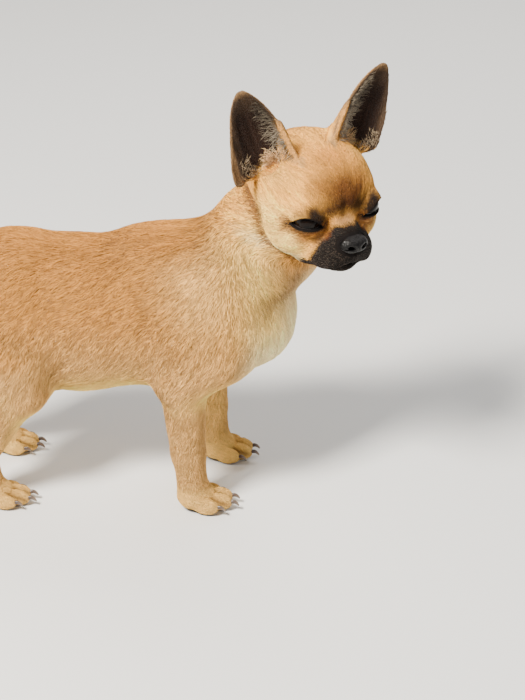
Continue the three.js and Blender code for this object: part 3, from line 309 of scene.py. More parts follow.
# ---- surface nets on a sparse-filled grid
class Grid:
    def __init__(s,F,lo,hi,h,inner,outer,coarse=4):
        lo=np.asarray(lo,float); n=np.ceil((np.asarray(hi)-lo)/h).astype(int); n=((n+coarse-1)//coarse)*coarse
        H=h*coarse; nc=n//coarse; r=H*0.87
        ax=[lo[i]+H*(np.arange(nc[i])+0.5) for i in range(3)]
        g=np.stack(np.meshgrid(*ax,indexing='ij'),-1).reshape(-1,3)
        fc=np.concatenate([F(c,30,False) for c in np.array_split(g,max(1,len(g)//300000))]).reshape(nc)
        near=(fc<r+outer)&(fc>-(r+inner))
        full=np.repeat(np.repeat(np.repeat(np.where(fc<0,-50.,50.).astype(np.float32),coarse,0),coarse,1),coarse,2)
        full=np.pad(full,((0,1),)*3,mode='edge')
        need=np.zeros(full.shape,bool); ci=np.argwhere(near)
        for dx in range(coarse+1):
            for dy in range(coarse+1):
                for dz in range(coarse+1): need[ci[:,0]*coarse+dx,ci[:,1]*coarse+dy,ci[:,2]*coarse+dz]=True
        ni=np.argwhere(need)
        full[need]=np.concatenate([F(lo+h*c) for c in np.array_split(ni,max(1,len(ni)//300000))])
        s.f,s.lo,s.h=full,lo,h; s.count=len(ni)
    def nets(s):
        f,lo,h=s.f,s.lo,s.h; ins=f<0; nx,ny,nz=f.shape
        c=np.zeros((nx-1,ny-1,nz-1),np.int8)
        for a in range(8): c+=ins[a&1:nx-1+(a&1),(a>>1)&1:ny-1+((a>>1)&1),(a>>2)&1:nz-1+((a>>2)&1)]
        act=(c>0)&(c<8); idx=-np.ones(act.shape,np.int32); ai=np.argwhere(act); idx[act]=np.arange(len(ai))
        acc=np.zeros((len(ai),3)); cnt=np.zeros(len(ai))
        for a in range(8):
            o=(a&1,(a>>1)&1,(a>>2)&1)
            for axis in range(3):
                if o[axis]: continue
                b=list(o); b[axis]=1
                fa=f[ai[:,0]+o[0],ai[:,1]+o[1],ai[:,2]+o[2]]; fb=f[ai[:,0]+b[0],ai[:,1]+b[1],ai[:,2]+b[2]]
                m=(fa<0)!=(fb<0); t=(fa/np.where(m,fa-fb,1))[m]
                acc[m]+=np.array(o,float); acc[m,axis]+=t; cnt[m]+=1
        v=(ai+acc/cnt[:,None])*h+lo; quads=[]
        for axis in range(3):
            a0=[slice(None)]*3; a1=[slice(None)]*3; a0[axis]=slice(0,-1); a1[axis]=slice(1,None)
            e=np.argwhere(ins[tuple(a0)]!=ins[tuple(a1)]); o1,o2=(axis+1)%3,(axis+2)%3
            e=e[(e[:,o1]>0)&(e[:,o2]>0)&(e[:,o1]<f.shape[o1]-1)&(e[:,o2]<f.shape[o2]-1)]
            u=np.zeros(3,int); w=np.zeros(3,int); u[o1]=1; w[o2]=1
            q=np.stack([idx[tuple((e-u-w).T)],idx[tuple((e-w).T)],idx[tuple(e.T)],idx[tuple((e-u).T)]],1)
            flip=~ins[tuple(e.T)]; q[flip]=q[flip][:,::-1]; quads.append(q)
        return v,np.concatenate(quads)
    def sample(s,p):
        """value and unit gradient by interpolation"""
        g=(p-s.lo)/s.h; i=np.clip(np.floor(g).astype(int),0,np.array(s.f.shape)-2); t=g-i
        c=np.empty((2,2,2,len(p)),np.float32)
        for a in (0,1):
            for b in (0,1):
                for k in (0,1): c[a,b,k]=s.f[i[:,0]+a,i[:,1]+b,i[:,2]+k]
        x,y,z=t.T
        lz=c[:,:,0]*(1-z)+c[:,:,1]*z; ly=lz[:,0]*(1-y)+lz[:,1]*y; val=ly[0]*(1-x)+ly[1]*x
        gx=ly[1]-ly[0]; gy=(lz[0,1]-lz[0,0])*(1-x)+(lz[1,1]-lz[1,0])*x
        cz=c[:,:,1]-c[:,:,0]; cy=cz[:,0]*(1-y)+cz[:,1]*y; gz=cy[0]*(1-x)+cy[1]*x
        n=np.stack([gx,gy,gz],1); return val,n/np.maximum(np.linalg.norm(n,axis=1),1e-6)[:,None]
def settle(v,F,most=0.6,e=0.04):
    f=F(v); g=np.stack([F(v+np.array(a)*e)-f for a in ((1,0,0),(0,1,0),(0,0,1))],1)/e
    return v-np.clip(f/np.maximum((g*g).sum(1),0.2),-most,most)[:,None]*g
# ============================== markings ==========================================
def srgb(*c):
    c=np.array(c,float)/255.0
    return np.where(c<=0.04045,c/12.92,((c+0.055)/1.055)**2.4)
FAWN=srgb(187,129,58); FAWN_DEEP=srgb(173,114,49); FAWN_PALE=srgb(213,165,97); CREAM=srgb(250,207,114); WHITE_CREAM=srgb(246,224,168)
SABLE=srgb(104,58,20); SABLE_DARK=srgb(34,20,11); RUST=srgb(134,74,28); MASK=srgb(20,15,12); MASK_SOFT=srgb(38,28,21); RIM=srgb(18,14,13)
EAR_INSIDE_AND_SHADE=srgb(34,23,18); EAR_RIM=srgb(124,96,66); GREY_HAIR=srgb(188,172,148); PAD=srgb(42,34,33); BRIDGE=srgb(162,125,88)
def over(c,new,w): w=np.clip(w,0,1)[:,None]; return c*(1-w)+new*w
def markings(p,n,w=None):
    """colour of skin and hair at points p with outward normals n"""
    if w is None: w=shares(p)
    x,y,z=p[:,0],p[:,1],p[:,2]; q=w['q']; m=len(p); ay=np.abs(y)
    c=np.tile(FAWN,(m,1))
    # trunk: deeper along the back, paler down the flank, cream beneath
    c=over(c,FAWN_DEEP,0.55*smoothstep(0.35,0.95,n[:,2])*smoothstep(118,140,z)*smoothstep(30,0,x))
    c=over(c,FAWN_PALE,0.85*smoothstep(122,84,z)*smoothstep(0.75,0.2,n[:,2]))
    c=over(c,srgb(244,194,114),0.88*blob(p*[1,1,1],(27,0,132),(20,60,28))*smoothstep(14,24,ay))
    c=over(c,CREAM,smoothstep(-0.05,-0.75,n[:,2])*smoothstep(96,72,z))
    # painted shade in the creases behind the elbow, before the shoulder blade and before the stifle
    m2=np.stack([x,ay,z],1); c=over(c,SABLE,0.50*bump(along(m2,(-9,33,86),(5,31,70)),3.2)*(n[:,2]<0.5)); c=over(c,SABLE,0.22*bump(along(m2,(22,27,132),(44,24,112)),4.0)); c=over(c,SABLE,0.25*bump(along(m2,(-52,28,88),(-66,27,72)),4.0))
    # the back of the thigh and under the tail
    c=over(c,CREAM,0.75*smoothstep(-86,-100,x)*smoothstep(0.9,0.2,np.abs(n[:,1]))*smoothstep(112,86,z)*(1-w['tail']))
    # chest and throat
    chest=smoothstep(36,56,x)*smoothstep(0.30,0.68,n[:,0]-0.25*n[:,2])*smoothstep(158,138,z)*(z>60)*(1-w['head'])
    c=over(c,WHITE_CREAM,chest)
    # the sides of the neck are pale, its crest fawn
    side=w['neck']*smoothstep(0.75,0.30,n[:,2])
    band=np.exp(-((x-(46.5+0.20*(148-z)))/11.5)**2)*smoothstep(94,116,z)*smoothstep(184,164,z)*(1-w['head'])*smoothstep(8,18,ay)*(1-0.65*smoothstep(0,10,y)*smoothstep(150,165,z))*smoothstep(0.85,0.5,n[:,2])
    c=over(c,FAWN_PALE,0.55*side); c=over(c,CREAM,0.90*band)
    # painted shade: a dark line where the side of the neck turns to the front of the throat, set by the turn of the
    # surface
    edge=np.exp(-((n[:,0]-0.46)/0.15)**2)*smoothstep(108,124,z)*smoothstep(172,160,z)*(1-w['head'])*smoothstep(44,52,x)*smoothstep(6,12,ay)
    c=over(c,SABLE,0.62*edge)
    # the shaded fold behind the jaw
    fold=w['q']; c=over(c,SABLE,0.85*bump(along(p,(43,-30,186),(47,-27,172)),3.0)*(w['ear']<0.3)); c=over(c,SABLE,0.80*bump(along(p,(48,-27,169),(66,-30,150)),3.4))
    # legs: pale inside and down to the feet
    inner=smoothstep(0.0,0.7,-n[:,1]*np.sign(y))*w['low']
    c=over(c,CREAM,0.8*inner)
    c=over(c,FAWN_PALE,0.6*smoothstep(64,30,z)*w['low'])
    c=over(c,CREAM,0.40*smoothstep(22,12,z)*w['low'])
    # painted shade on the fronts of the lower legs
    c=over(c,SABLE,0.16*smoothstep(0.3,0.9,n[:,0])*smoothstep(18,24,z)*smoothstep(60,44,z)*w['low'])
    c=over(c,PAD,smoothstep(-0.55,-0.85,n[:,2])*smoothstep(3.2,2.0,z))
    # painted shade: dark lines in the clefts between the toes
    for q0 in PAWS.values():
        mine=np.nonzero((np.abs(x-q0['x']-q0['length']*0.3)<q0['length'])&(np.abs(y-q0['y'])<q0['width'])&(z<17))[0]
        for a,b in zip(TOES[:-1],TOES[1:]):
            if not len(mine): break
            g=(np.array(toe_place(q0,a))+np.array(toe_place(q0,b)))/2; yaw=math.radians((a[0]+b[0])/2*q0['splay']); go=np.array([math.cos(yaw),math.sin(yaw),0])
            c[mine]=over(c[mine],SABLE,0.70*bump(along(p[mine],g-go*2.5+[0,0,4.0],g+go*q0['length']*0.29+[0,0,0.0]),1.35))
    # tail: sable along its upper side
    c=over(c,SABLE,w['tail']*0.55*smoothstep(0.2,-0.7,n[:,0])*smoothstep(125,112,z)); c=over(c,SABLE_DARK,0.45*w['tail']*smoothstep(54,42,z))
    c=over(c,CREAM,w['tail']*0.6*smoothstep(0.2,0.8,n[:,0]))
    # the shade where the cheek and jaw lie over the neck
    near=(w['q'][:,0]>-22)&(w['q'][:,0]<32)&(w['q'][:,2]<10)&(w['q'][:,2]>-34)&(w['ear']<0.3)
    crease=np.zeros(m)
    if near.any(): crease[near]=bump(head_field(p[near],16)-joined(NECK+[NAPE],p[near],None,16)+0.9,2.2)*smoothstep(-22,-12,w['q'][near,0])*smoothstep(10,2,w['q'][near,2])
    # ---- head, in its own frame: x ahead, y to its left, z up
    hd=w['head']; qx,qy,qz=q[:,0],q[:,1],q[:,2]; sy=np.abs(qy); s3=np.stack([qx,sy,qz],1)
    h=np.tile(srgb(238,171,76),(m,1))
    h=over(h,FAWN,0.75*smoothstep(2,-18,qx)*smoothstep(4,16,qz))
    h=over(h,srgb(182,118,48),0.78*blob(s3,(15,0,24),(10,13,9)))
    h=over(h,CREAM,0.85*smoothstep(15,24,sy)*smoothstep(10,-4,qz)*smoothstep(-10,6,qx))
    h=over(h,srgb(222,170,86),0.8*blob(s3,(4,24,16),(13,7,7)))
    h=over(h,CREAM,0.95*blob(s3,(21,23,-11),(10,9,8)))
    h=over(h,WHITE_CREAM,smoothstep(-14,-21,qz)*smoothstep(30,24,qx)*smoothstep(0.70,0.97,hd))
    h=over(h,FAWN,0.55*blob(s3,(-4,31,-2),(9,8,9))); h=over(h,SABLE,0.30*blob(s3,(10,27,-8),(9,6,3.0)))
    # sable over the brow; the stop is darkest, partly dark hair and partly painted shade
    h=over(h,srgb(80,44,15),0.96*blob(s3,(27,0,15.6),(9.2,12.5,9.8)))
    h=over(h,SABLE,0.55*blob(s3,(25,11,16.5),(6,6,5))); h=over(h,SABLE,0.65*blob(s3,(29.5,0,11.5),(5,9,4.5)))
    h=over(h,srgb(42,19,4),0.98*blob(s3,(31.8,0,7.9),(5.4,9.4,4.3)))
    h=over(h,srgb(46,21,5),0.98*blob(s3,(31.4,8.5,5.2),(5,6.4,3.3)))
    # painted shadow: a dark streak up the left side of the forehead, on that side only
    h=over(h,srgb(84,42,10),0.70*bump(along(q,(31.7,2.1,8.6),(28.8,9.4,14.1)),2.2))
    h=over(h,srgb(66,35,11),0.50*blob(s3,(29.2,0,12.4),(6,9.5,4.6)))
    # a dark band across the stop between the eyes: partly dark hair, partly painted shade
    h=over(h,srgb(58,29,8),0.55*bump(along(q,(32.2,-7.0,6.4),(32.4,-1.0,7.6)),2.0)); h=over(h,srgb(48,23,6),0.55*bump(along(q,(32.4,-1.0,7.6),(31.4,7.0,7.4)),2.0))
    # around the eyes: dark inner lids, rust below
    h=over(h,RUST,0.85*blob(s3,(28.5,18.5,-7.5),(5,5.0,3.4)))
    h=over(h,RUST,0.75*blob(s3,(32,13,-5.5),(4,3.0,5.0)))
    h=over(h,SABLE_DARK,0.80*blob(s3,(31.0,14.5,1.5),(3.5,2.6,3.4)))
    h=over(h,srgb(40,25,16),0.92*blob(s3,(30.2,16.2,6.6),(4,3.8,3.0)))
    h=over(h,SABLE,0.30*blob(s3,(27,21.5,6.5),(4,4,2.6)))
    h=over(h,SABLE_DARK,0.45*blob(s3,(25.5,21.5,-4.8),(4,4.6,1.6)))
    h=over(h,BRIDGE,1.0*blob(s3,(34.6,0,1.0),(4.2,6.2,1.9)))
    h=over(h,BRIDGE,0.60*blob(s3,(32.5,12.0,-8.0),(2.0,2.4,4.0)))
    # muzzle
    mk=smoothstep(30.9,35.2,qx+0.30*np.clip(-13-qz,0,8))*smoothstep(0.5,-2.0,qz+0.06*sy)
    mk=np.maximum(mk,smoothstep(24.5,29,qx)*smoothstep(-18.6,-20.4,qz))
    h=over(h,MASK_SOFT,np.clip(mk*1.8,0,1)); h=over(h,MASK,mk**1.2*(0.62+0.38*bump(np.linalg.norm(q-np.array([39,0,-12.0]),axis=1),12)))
    # eye rims
    for s in (-1,1):
        l=(q-eye_at(s))@EYE_FRAMES[s]; e=lid_edge(l); near=(np.einsum('ij,ij->i',l,l)<15**2)&(l[:,0]>-2)
        inner=-s*l[:,1]
        h=over(h,srgb(26,17,13),near*0.95*smoothstep(4.8,1.8,e)*smoothstep(-1.0,3.0,inner)*smoothstep(-1.0,1.0,l[:,2]))
        h=over(h,RUST,near*0.75*smoothstep(5.5,2.0,e)*smoothstep(1.0,-1.0,l[:,2])); h=over(h,SABLE_DARK,near*0.55*smoothstep(2.8,1.0,e))
        h=over(h,RIM,near*smoothstep(0.95+0.5*smoothstep(0,5,inner),0.50,e))
    # lips and the black under the nose
    h=over(h,RIM,smoothstep(0.9,0.4,np.abs(mouth_line(q)))*smoothstep(21,25,qx))
    h=over(h,RIM,smoothstep(1.35,1.1,np.sqrt(((qx-NOSE['centre'][0])/NOSE['radii'][0])**2+(qy/NOSE['radii'][1])**2+((qz-NOSE['centre'][2])/NOSE['radii'][2])**2)))
    c=over(c,h,hd); c=over(c,srgb(104,62,26),0.92*crease)
    # ---- ears
    for name,e in EARF.items():
        d=p-e.mid; near=np.einsum('ij,ij->i',d,d)<(e.rad+6)**2
        if not near.any(): continue
        l=e.local(p[near]); t=l[:,0]/e.e['length']; tc=np.clip(t,0,1); u=l[:,1]/np.maximum(e.half(tc),1); medial=-u*e.e['side']
        nn=n[near]@e.M; front=smoothstep(-0.15,0.15,nn[:,2])
        inside=(np.abs(u)<1.25)&(np.abs(l[:,2]-e.cup(tc,l[:,1]))<4.5)&(t<1.08)
        on=inside*smoothstep(-0.06,0.05,t)
        back=np.tile(srgb(196,146,84),(len(l),1)); back=over(back,SABLE,0.35*smoothstep(0.2,0.8,t)*(1-u*u)); back=over(back,srgb(140,112,82),0.8*smoothstep(0.86,0.97,np.maximum(np.abs(u),t))); back=over(back,SABLE_DARK,0.35*smoothstep(0.86,1.0,t))
        # inside of the ear: dark hair and painted shade in the cup, lighter towards the edges
        f=np.tile(EAR_INSIDE_AND_SHADE,(len(l),1)); f=over(f,srgb(58,40,31),0.5*bump(u,0.5)*smoothstep(0.9,0.4,t))
        f=over(f,srgb(80,63,48),0.8*smoothstep(0.55,0.88,np.maximum(np.abs(u),t-0.05))); f=over(f,EAR_RIM,smoothstep(0.86,0.97,np.maximum(np.abs(u),t)))
        f=over(f,srgb(222,184,124),0.9*smoothstep(0.12,0.0,t)*smoothstep(-0.2,0.4,medial))
        f=over(f,srgb(206,152,84),0.95*smoothstep(0.66,0.82,medial)*smoothstep(0.56,0.40,t))
        thick=np.abs(l[:,2]-e.cup(tc,l[:,1]))-EAR_THICKNESS; root=smoothstep(0.3,1.3,thick)*smoothstep(0.66,0.5,t)
        f=over(f,srgb(214,160,88),root); back=over(back,srgb(214,160,88),root)
        cc=over(back,f,front); c[near]=over(c[near],cc,on*smoothstep(0.0,0.4,w['ear'][near]+on*0.6))
    return np.clip(c,0,1)
# ============================== the lie of the coat ================================
def lie(p,n,w):
    """direction the hair points, along the surface"""
    x,y,z=p[:,0],p[:,1],p[:,2]; m=len(p); q=w['q']; sg=np.sign(y)
    d=np.tile((-0.92,0.0,-0.22),(m,1)).astype(float)
    flank=smoothstep(0.25,0.85,np.abs(n[:,1]))[:,None]
    d=d*(1-flank)+np.array((-0.80,0,-0.58))*flank; lowf=flank*smoothstep(122,92,z)[:,None]; d=d*(1-lowf)+np.array((-0.52,0,-0.85))*lowf
    shoulder=(blob(p,(27,0,112),(24,80,34))*smoothstep(12,22,np.abs(y)))[:,None]; d=d*(1-shoulder)+np.array((-0.35,0,-0.93))*shoulder
    haunch=(blob(p,(-78,0,88),(26,80,32))*smoothstep(8,18,np.abs(y)))[:,None]; d=d*(1-haunch)+np.array((-0.45,0,-0.88))*haunch
    belly=(smoothstep(-0.3,-0.8,n[:,2])*smoothstep(90,74,z)*(z>40))[:,None]; d=d*(1-belly)+np.array((-0.97,0,-0.1))*belly
    chest=(smoothstep(38,58,x)*smoothstep(0.1,0.7,n[:,0])*smoothstep(160,140,z)*(1-w['head']))[:,None]; ch=np.stack([-0.1+0*x,-0.30*sg*np.ones(m),-0.95+0*x],1); d=d*(1-chest)+ch*chest
    nk=(np.maximum(w['neck'],smoothstep(24,42,x)*smoothstep(104,124,z)*(1-w['head']))*smoothstep(0.85,0.3,n[:,2]))[:,None]; d=d*(1-nk)+np.stack([-0.25+0.65*smoothstep(26,46,x),0*x,-0.92+0*x],1)*nk
    rump=(smoothstep(-92,-108,x)*(1-w['tail']))[:,None]; d=d*(1-rump)+np.array((-0.25,0,-0.95))*rump
    low=w['low'][:,None]; d=d*(1-low)+np.array((-0.10,0,-1.0))*low
    ft=w['foot'][:,None]; d=d*(1-ft)+np.array((0.80,0,-0.35))*ft
    tl=w['tail'][:,None]; d=d*(1-tl)+np.array((-0.25,0,-1.0))*tl
    # head
    qx,qy,qz=q.T; sh=np.sign(qy)
    up=smoothstep(20,30,qx)*smoothstep(-1,5,qz)
    h=np.stack([-1+0*qx,0.018*qy,0.02*qz],1)
    fore=smoothstep(0,8,qz)[:,None]; h=h*(1-fore)+np.stack([-0.55-0.02*qx,0.040*qy,0.95-0.018*np.clip(qz,0,30)],1)*fore
    crown=(smoothstep(8,-6,qx)*smoothstep(8,20,qz))[:,None]; h=h*(1-crown)+np.stack([-1+0*qx,0.02*qy,-0.25+0*qx],1)*crown
    cheek=(smoothstep(12,22,np.abs(qy))*smoothstep(2,-6,qz))[:,None]; h=h*(1-cheek)+np.stack([-0.95+0*qx,0.05*sh,-0.38+0*qx],1)*cheek
    snout=(smoothstep(28,34,qx)*smoothstep(0,-4,qz))[:,None]; h=h*(1-snout)+np.stack([-0.80+0*qx,0.35*sh,-0.40+0*qx],1)*snout
    chin=(smoothstep(-19,-23,qz))[:,None]; h=h*(1-chin)+np.stack([-1+0*qx,0*qx,-0.1+0*qx],1)*chin
    throat=(smoothstep(14,4,qx)*smoothstep(-12,-22,qz))[:,None]; h=h*(1-throat)+np.stack([-0.7+0*qx,0*qx,-0.7+0*qx],1)*throat
    hw=h@HEAD_FRAME.T; hd=w['head'][:,None]; d=d*(1-hd)+hw*hd
    for name,e in EARF.items():
        dd=p-e.mid; near=(np.einsum('ij,ij->i',dd,dd)<(e.rad+6)**2)&(w['ear']>0.05)
        if near.any():
            l=e.local(p[near]); u=l[:,1]/EAR_HALF_WIDTH; nn=n[near]@e.M; fr=(nn[:,2]>0)
            v=np.stack([np.ones(len(l)),np.where(fr,-0.55*u,0.30*u),0.05+0*u],1)@e.M.T
            k=w['ear'][near][:,None]; d[near]=d[near]*(1-k)+v*k
    # soft waves, so that the locks don't lie all alike
    d=d+0.09*np.stack([np.sin(z*0.17+y*0.1),np.sin(x*0.13+z*0.06),np.sin(x*0.19-y*0.12)],1)
    d=d-n*np.einsum('ij,ij->i',d,n)[:,None]
    return d/np.maximum(np.linalg.norm(d,axis=1),1e-6)[:,None]
# ============================== meshes ============================================
def fill_mesh(me,v,loops,starts):
    """vertices (metres), vertex of each corner, first corner of each face"""
    me.vertices.add(len(v)); me.vertices.foreach_set("co",np.ascontiguousarray(v,np.float32).ravel())
    me.loops.add(len(loops)); me.loops.foreach_set("vertex_index",np.ascontiguousarray(loops,np.int32))
    me.polygons.add(len(starts)); me.polygons.foreach_set("loop_start",np.ascontiguousarray(starts,np.int32))
    me.update(calc_edges=True)
    me.polygons.foreach_set("use_smooth",np.ones(len(starts),bool))
LO,HI=[np.array(c) for c in CAD_BOX]
def held(v):
    """row metres, kept within the box of the CAD model"""
    return np.clip(to_row(v),LO+2e-5,HI-2e-5)
def piece(name,v,faces,mat,tint=None,uv=None,mm=True):
    """a visible piece that rides on the model; faces is an array of equal faces or a list of arrays of them"""
    if isinstance(faces,np.ndarray): faces=[faces]
    loops=np.concatenate([f.reshape(-1) for f in faces]); sizes=np.concatenate([np.full(len(f),f.shape[1]) for f in faces])
    starts=np.concatenate([[0],np.cumsum(sizes)[:-1]])
    me=bpy.data.meshes.new(name); fill_mesh(me,to_row(v) if mm else v,loops,starts)
    if tint is not None:
        a=me.color_attributes.new("tint","FLOAT_COLOR","POINT"); a.data.foreach_set("color",np.concatenate([tint,np.ones((len(tint),1))],1).astype(np.float32).ravel())
    if uv is not None:
        m=me.uv_layers.new(name="OFBake"); m.data.foreach_set("uv",np.ascontiguousarray(uv,np.float32).ravel())
    o=bpy.data.objects.new(name,me); bpy.context.collection.objects.link(o); me.materials.append(mat)
    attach(o,"root"); return o
def volume_sign(v,f):
    a,b,c=v[f[:,0]],v[f[:,1]],v[f[:,2]]; return np.sign(np.einsum('ij,ij->i',a-v.mean(0),np.cross(b-v.mean(0),c-v.mean(0))).sum())
def refine(v,q,pick):
    """splits the picked quads in four; their neighbours take the new points into their edges"""
    n=len(v); e=np.stack([q,np.roll(q,-1,1)],2); lo=e.min(2).astype(np.int64); hi=e.max(2).astype(np.int64); key=lo*n+hi
    ks=np.unique(key[pick].ravel()); mid=(v[ks//n]+v[ks%n])/2; centre=v[q[pick]].mean(1)
    at=np.searchsorted(ks,key); at=np.minimum(at,len(ks)-1); on=ks[at]==key; mi=n+at; ci=n+len(ks)+np.arange(int(pick.sum()))
    qp,mp=q[pick],mi[pick]
    new=[np.stack([qp[:,i],mp[:,i],ci,mp[:,i-1]],1) for i in range(4)]
    rest=~pick&on.any(1); plain=~pick&~on.any(1)
    poly=[[] for _ in range(9)]
    for r,m,o in zip(q[rest],mi[rest],on[rest]):
        f=[]
        for i in range(4):
            f.append(r[i]);
            if o[i]: f.append(m[i])
        poly[len(f)].append(f)
    faces=[np.concatenate([q[plain]]+new)]+[np.array(f) for f in poly if f]
    return np.concatenate([v,mid,centre]),faces
def face_normals(v,faces):
    n=np.zeros_like(v)
    for f in faces:
        p=v[f]; c=np.zeros((len(f),3))
        for i in range(1,f.shape[1]-1): c+=np.cross(p[:,i]-p[:,0],p[:,i+1]-p[:,0])
        for i in range(f.shape[1]): np.add.at(n,f[:,i],c)
    return n/np.maximum(np.linalg.norm(n,axis=1),1e-12)[:,None]
# ============================== the unwrap =========================================
RECTS=dict(trunk=(.01,.01,.49,.60),neck=(.505,.01,.70,.36),head=(.01,.615,.61,.99),tail=(.505,.375,.60,.60),sole=(.615,.375,.99,.60))
CHARTS=['trunk','neck','head','tail','sole']+['leg%d'%i for i in range(4)]+['ear%d'%i for i in range(4)]
for i in range(4):
    RECTS['leg%d'%i]=(.715+.07*i,.01,.715+.07*i+.062,.36)
    RECTS['ear%d'%i]=(.625+.19*(i%2),.615+.19*(i//2),.625+.19*(i%2)+.18,.615+.19*(i//2)+.18)
def chart_of(p,n,w):
    x,y,z=p.T; c=np.zeros(len(p),int)
    c[z<70]=5+2*(x[z<70]<-30)+(y[z<70]>0)
    c[w['neck']>0.5]=1; c[w['head']>0.5]=2; c[w['tail']>0.5]=3
    c[(n[:,2]<-0.7)&(z<2.5)]=4
    for i,e in enumerate(EARF.values()):
        d=p-e.mid; near=(w['ear']>0.5)&(np.einsum('ij,ij->i',d,d)<(e.rad+6)**2); c[near]=9+2*i+((n[near]@e.M)[:,2]>0)
    return c
def round_about(a,b,ref):
    """angle of (a,b), taken next to a reference angle"""
    t=np.arctan2(b,a); return t if ref is None else ref+(t-ref+math.pi)%(2*math.pi)-math.pi
NECK_FROM=np.array([40.,0,124]); NECK_ALONG=unit((0.56,-0.16,0.81)); NECK_SIDE=unit(np.cross(NECK_ALONG,(0,1,0))); NECK_OVER=np.cross(NECK_ALONG,NECK_SIDE)
def leg_axis(i,z):
    fore=i<2; s=-1 if i%2==0 else 1
    if fore: cx=12+(8 if s>0 else 0)+0*z; cy=s*24.5+0*z
    else: cx=-91+(-4 if s>0 else 0)+np.clip(z-36,0,60)*0.45; cy=s*25.0+0*z
    return cx,cy
def unwrap(c,p,ref=None):
    """u, v and the angle used, for points p on chart number c"""
    name=CHARTS[c]; x,y,z=p.T
    if name=='trunk': a=round_about(z-104,y,ref); u=(x+118)/200; v=a/(2*math.pi)+.5
    elif name=='neck':
        d=p-NECK_FROM; a=round_about(d@NECK_SIDE,d@NECK_OVER,ref); u=(d@NECK_ALONG+10)/75; v=a/(2*math.pi)+.5
    elif name=='head':
        q=to_head(p); a=round_about(q[:,0],q[:,1],ref); u=a/(2*math.pi)+.5; v=np.arctan2(q[:,2]+2,np.hypot(q[:,0],q[:,1]))/math.pi+.5
    elif name=='tail': a=round_about(x+128,y,ref); u=a/(2*math.pi)+.5; v=(z-36)/100
    elif name=='sole': a=None; u=(x+112)/170; v=(y+45)/90
    elif name[:3]=='leg':
        i=int(name[3]); cx,cy=leg_axis(i,z); s=-1 if i%2==0 else 1; a=round_about(s*(y-cy),x-cx,ref); u=a/(2*math.pi)+.5; v=(z+2)/76
    else:
        e=list(EARF.values())[(c-9)//2]; l=e.local(p); a=None; u=l[:,1]/40+.5; v=(l[:,0]+6)/(e.e['length']+8)
    r=RECTS[name]
    return r[0]+(r[2]-r[0])*np.clip(u,-.02,1.02),r[1]+(r[3]-r[1])*np.clip(v,-.02,1.02),a
def unwrap_faces(v,n,faces):
    out=[]
    for f in faces:
        mid=v[f].mean(1); nn=n[f].mean(1); c=chart_of(mid,nn,shares(mid)); uv=np.zeros(f.shape+(2,))
        for k in range(len(CHARTS)):
            m=c==k
            if not m.any(): continue
            _,_,ref=unwrap(k,mid[m])
            for j in range(f.shape[1]):
                a,b,_=unwrap(k,v[f[m][:,j]],ref); uv[m,j,0]=a; uv[m,j,1]=b
        out.append(uv.reshape(-1,2))
    return np.concatenate(out)
def unwrap_points(p,n,w):
    c=chart_of(p,n,w); uv=np.zeros((len(p),2))
    for k in range(len(CHARTS)):
        m=c==k
        if m.any(): a,b,_=unwrap(k,p[m]); uv[m,0]=a; uv[m,1]=b
    return uv
# ============================== locks of hair ======================================
def locks(G,R,N,D,L,W,heights,tint,uv,rings,rng,curl=0.10,flat=0.30,shade=(0.88,0.98,1.06),tip=None):
    """thin closed locks lying along the skin, each from one root; returns vertices, triangles, colours, uv"""
    m=len(R); S=rng.normal(0,curl,m)[:,None]; n=N; d=D; P=R; path=[R-N*0.25]; norm=[N]; dirs=[D]
    cuts=[0.36,0.37,0.27] if rings==2 else [0.40,0.60]
    for i,s in enumerate(cuts):
        side=np.cross(n,d); d=d+side*S*(i+0.6); d/=np.linalg.norm(d,axis=1)[:,None]
        X=P+d*(L*s)[:,None]; f,nn=G.sample(X); nn=np.where((np.abs(f)<6)[:,None],nn,n); f=np.where(np.abs(f)<6,f,heights[i])
        step=np.clip(f-heights[i],-2.0,2.0); P=X-nn*step[:,None]; n=nn
        d=d-n*np.einsum('ij,ij->i',d,n)[:,None]; d/=np.maximum(np.linalg.norm(d,axis=1),1e-6)[:,None]
        path.append(P); norm.append(n); dirs.append(d)
    per=2+3*rings; V=np.zeros((m,per,3)); V[:,0]=path[0]; V[:,-1]=path[-1]
    C=np.zeros((m,per,3)); C[:,0]=tint*shade[0]; C[:,-1]=(tint if tip is None else tip)*shade[2]
    T=np.zeros((m,per,2)); T[:,0]=(0,-.5); T[:,-1]=(0,.5)
    for i in range(rings):
        wd=(W*(1.0 if i==0 else 0.72)); b=np.cross(norm[i+1],dirs[i+1]); th=wd*flat; o=path[i+1]
        V[:,1+3*i]=o-b*(wd/2)[:,None]-norm[i+1]*(th*0.35)[:,None]
        V[:,2+3*i]=o+b*(wd/2)[:,None]-norm[i+1]*(th*0.35)[:,None]
        V[:,3+3*i]=o+norm[i+1]*(th*0.65)[:,None]
        t=(i+1)/(rings+1.0); k=shade[0]+(shade[1]-shade[0])*min(1,t*2)
        base=tint if (tip is None or i==0) else tint*0.55+tip*0.45
        for j in range(3): C[:,1+3*i+j]=base*k; T[:,1+3*i+j]=((-.5,.5,0)[j],t-.5)
    tri=[(0,1,3),(0,3,2),(0,2,1)]
    for i in range(rings-1):
        a=1+3*i; b=a+3
        for s,t in ((0,2),(2,1),(1,0)): tri+= [(a+s,b+s,b+t),(a+s,b+t,a+t)]
    a=1+3*(rings-1); tri+=[(a,per-1,a+2),(a+2,per-1,a+1),(a+1,per-1,a)]
    tri=np.array(tri)
    F=(np.arange(m)[:,None,None]*per+tri[None]).reshape(-1,3); V=V.reshape(-1,3)
    if volume_sign(V[:per],tri)<0 if m==1 else np.einsum('ij,ij->',V[F[:,0]]-np.repeat(R,len(tri),0),np.cross(V[F[:,1]]-np.repeat(R,len(tri),0),V[F[:,2]]-np.repeat(R,len(tri),0)))<0: F=F[:,::-1]
    U=(uv[:,None,:]+T*0.003).reshape(-1,2)
    return V,F,C.reshape(-1,3),U[F.reshape(-1)]
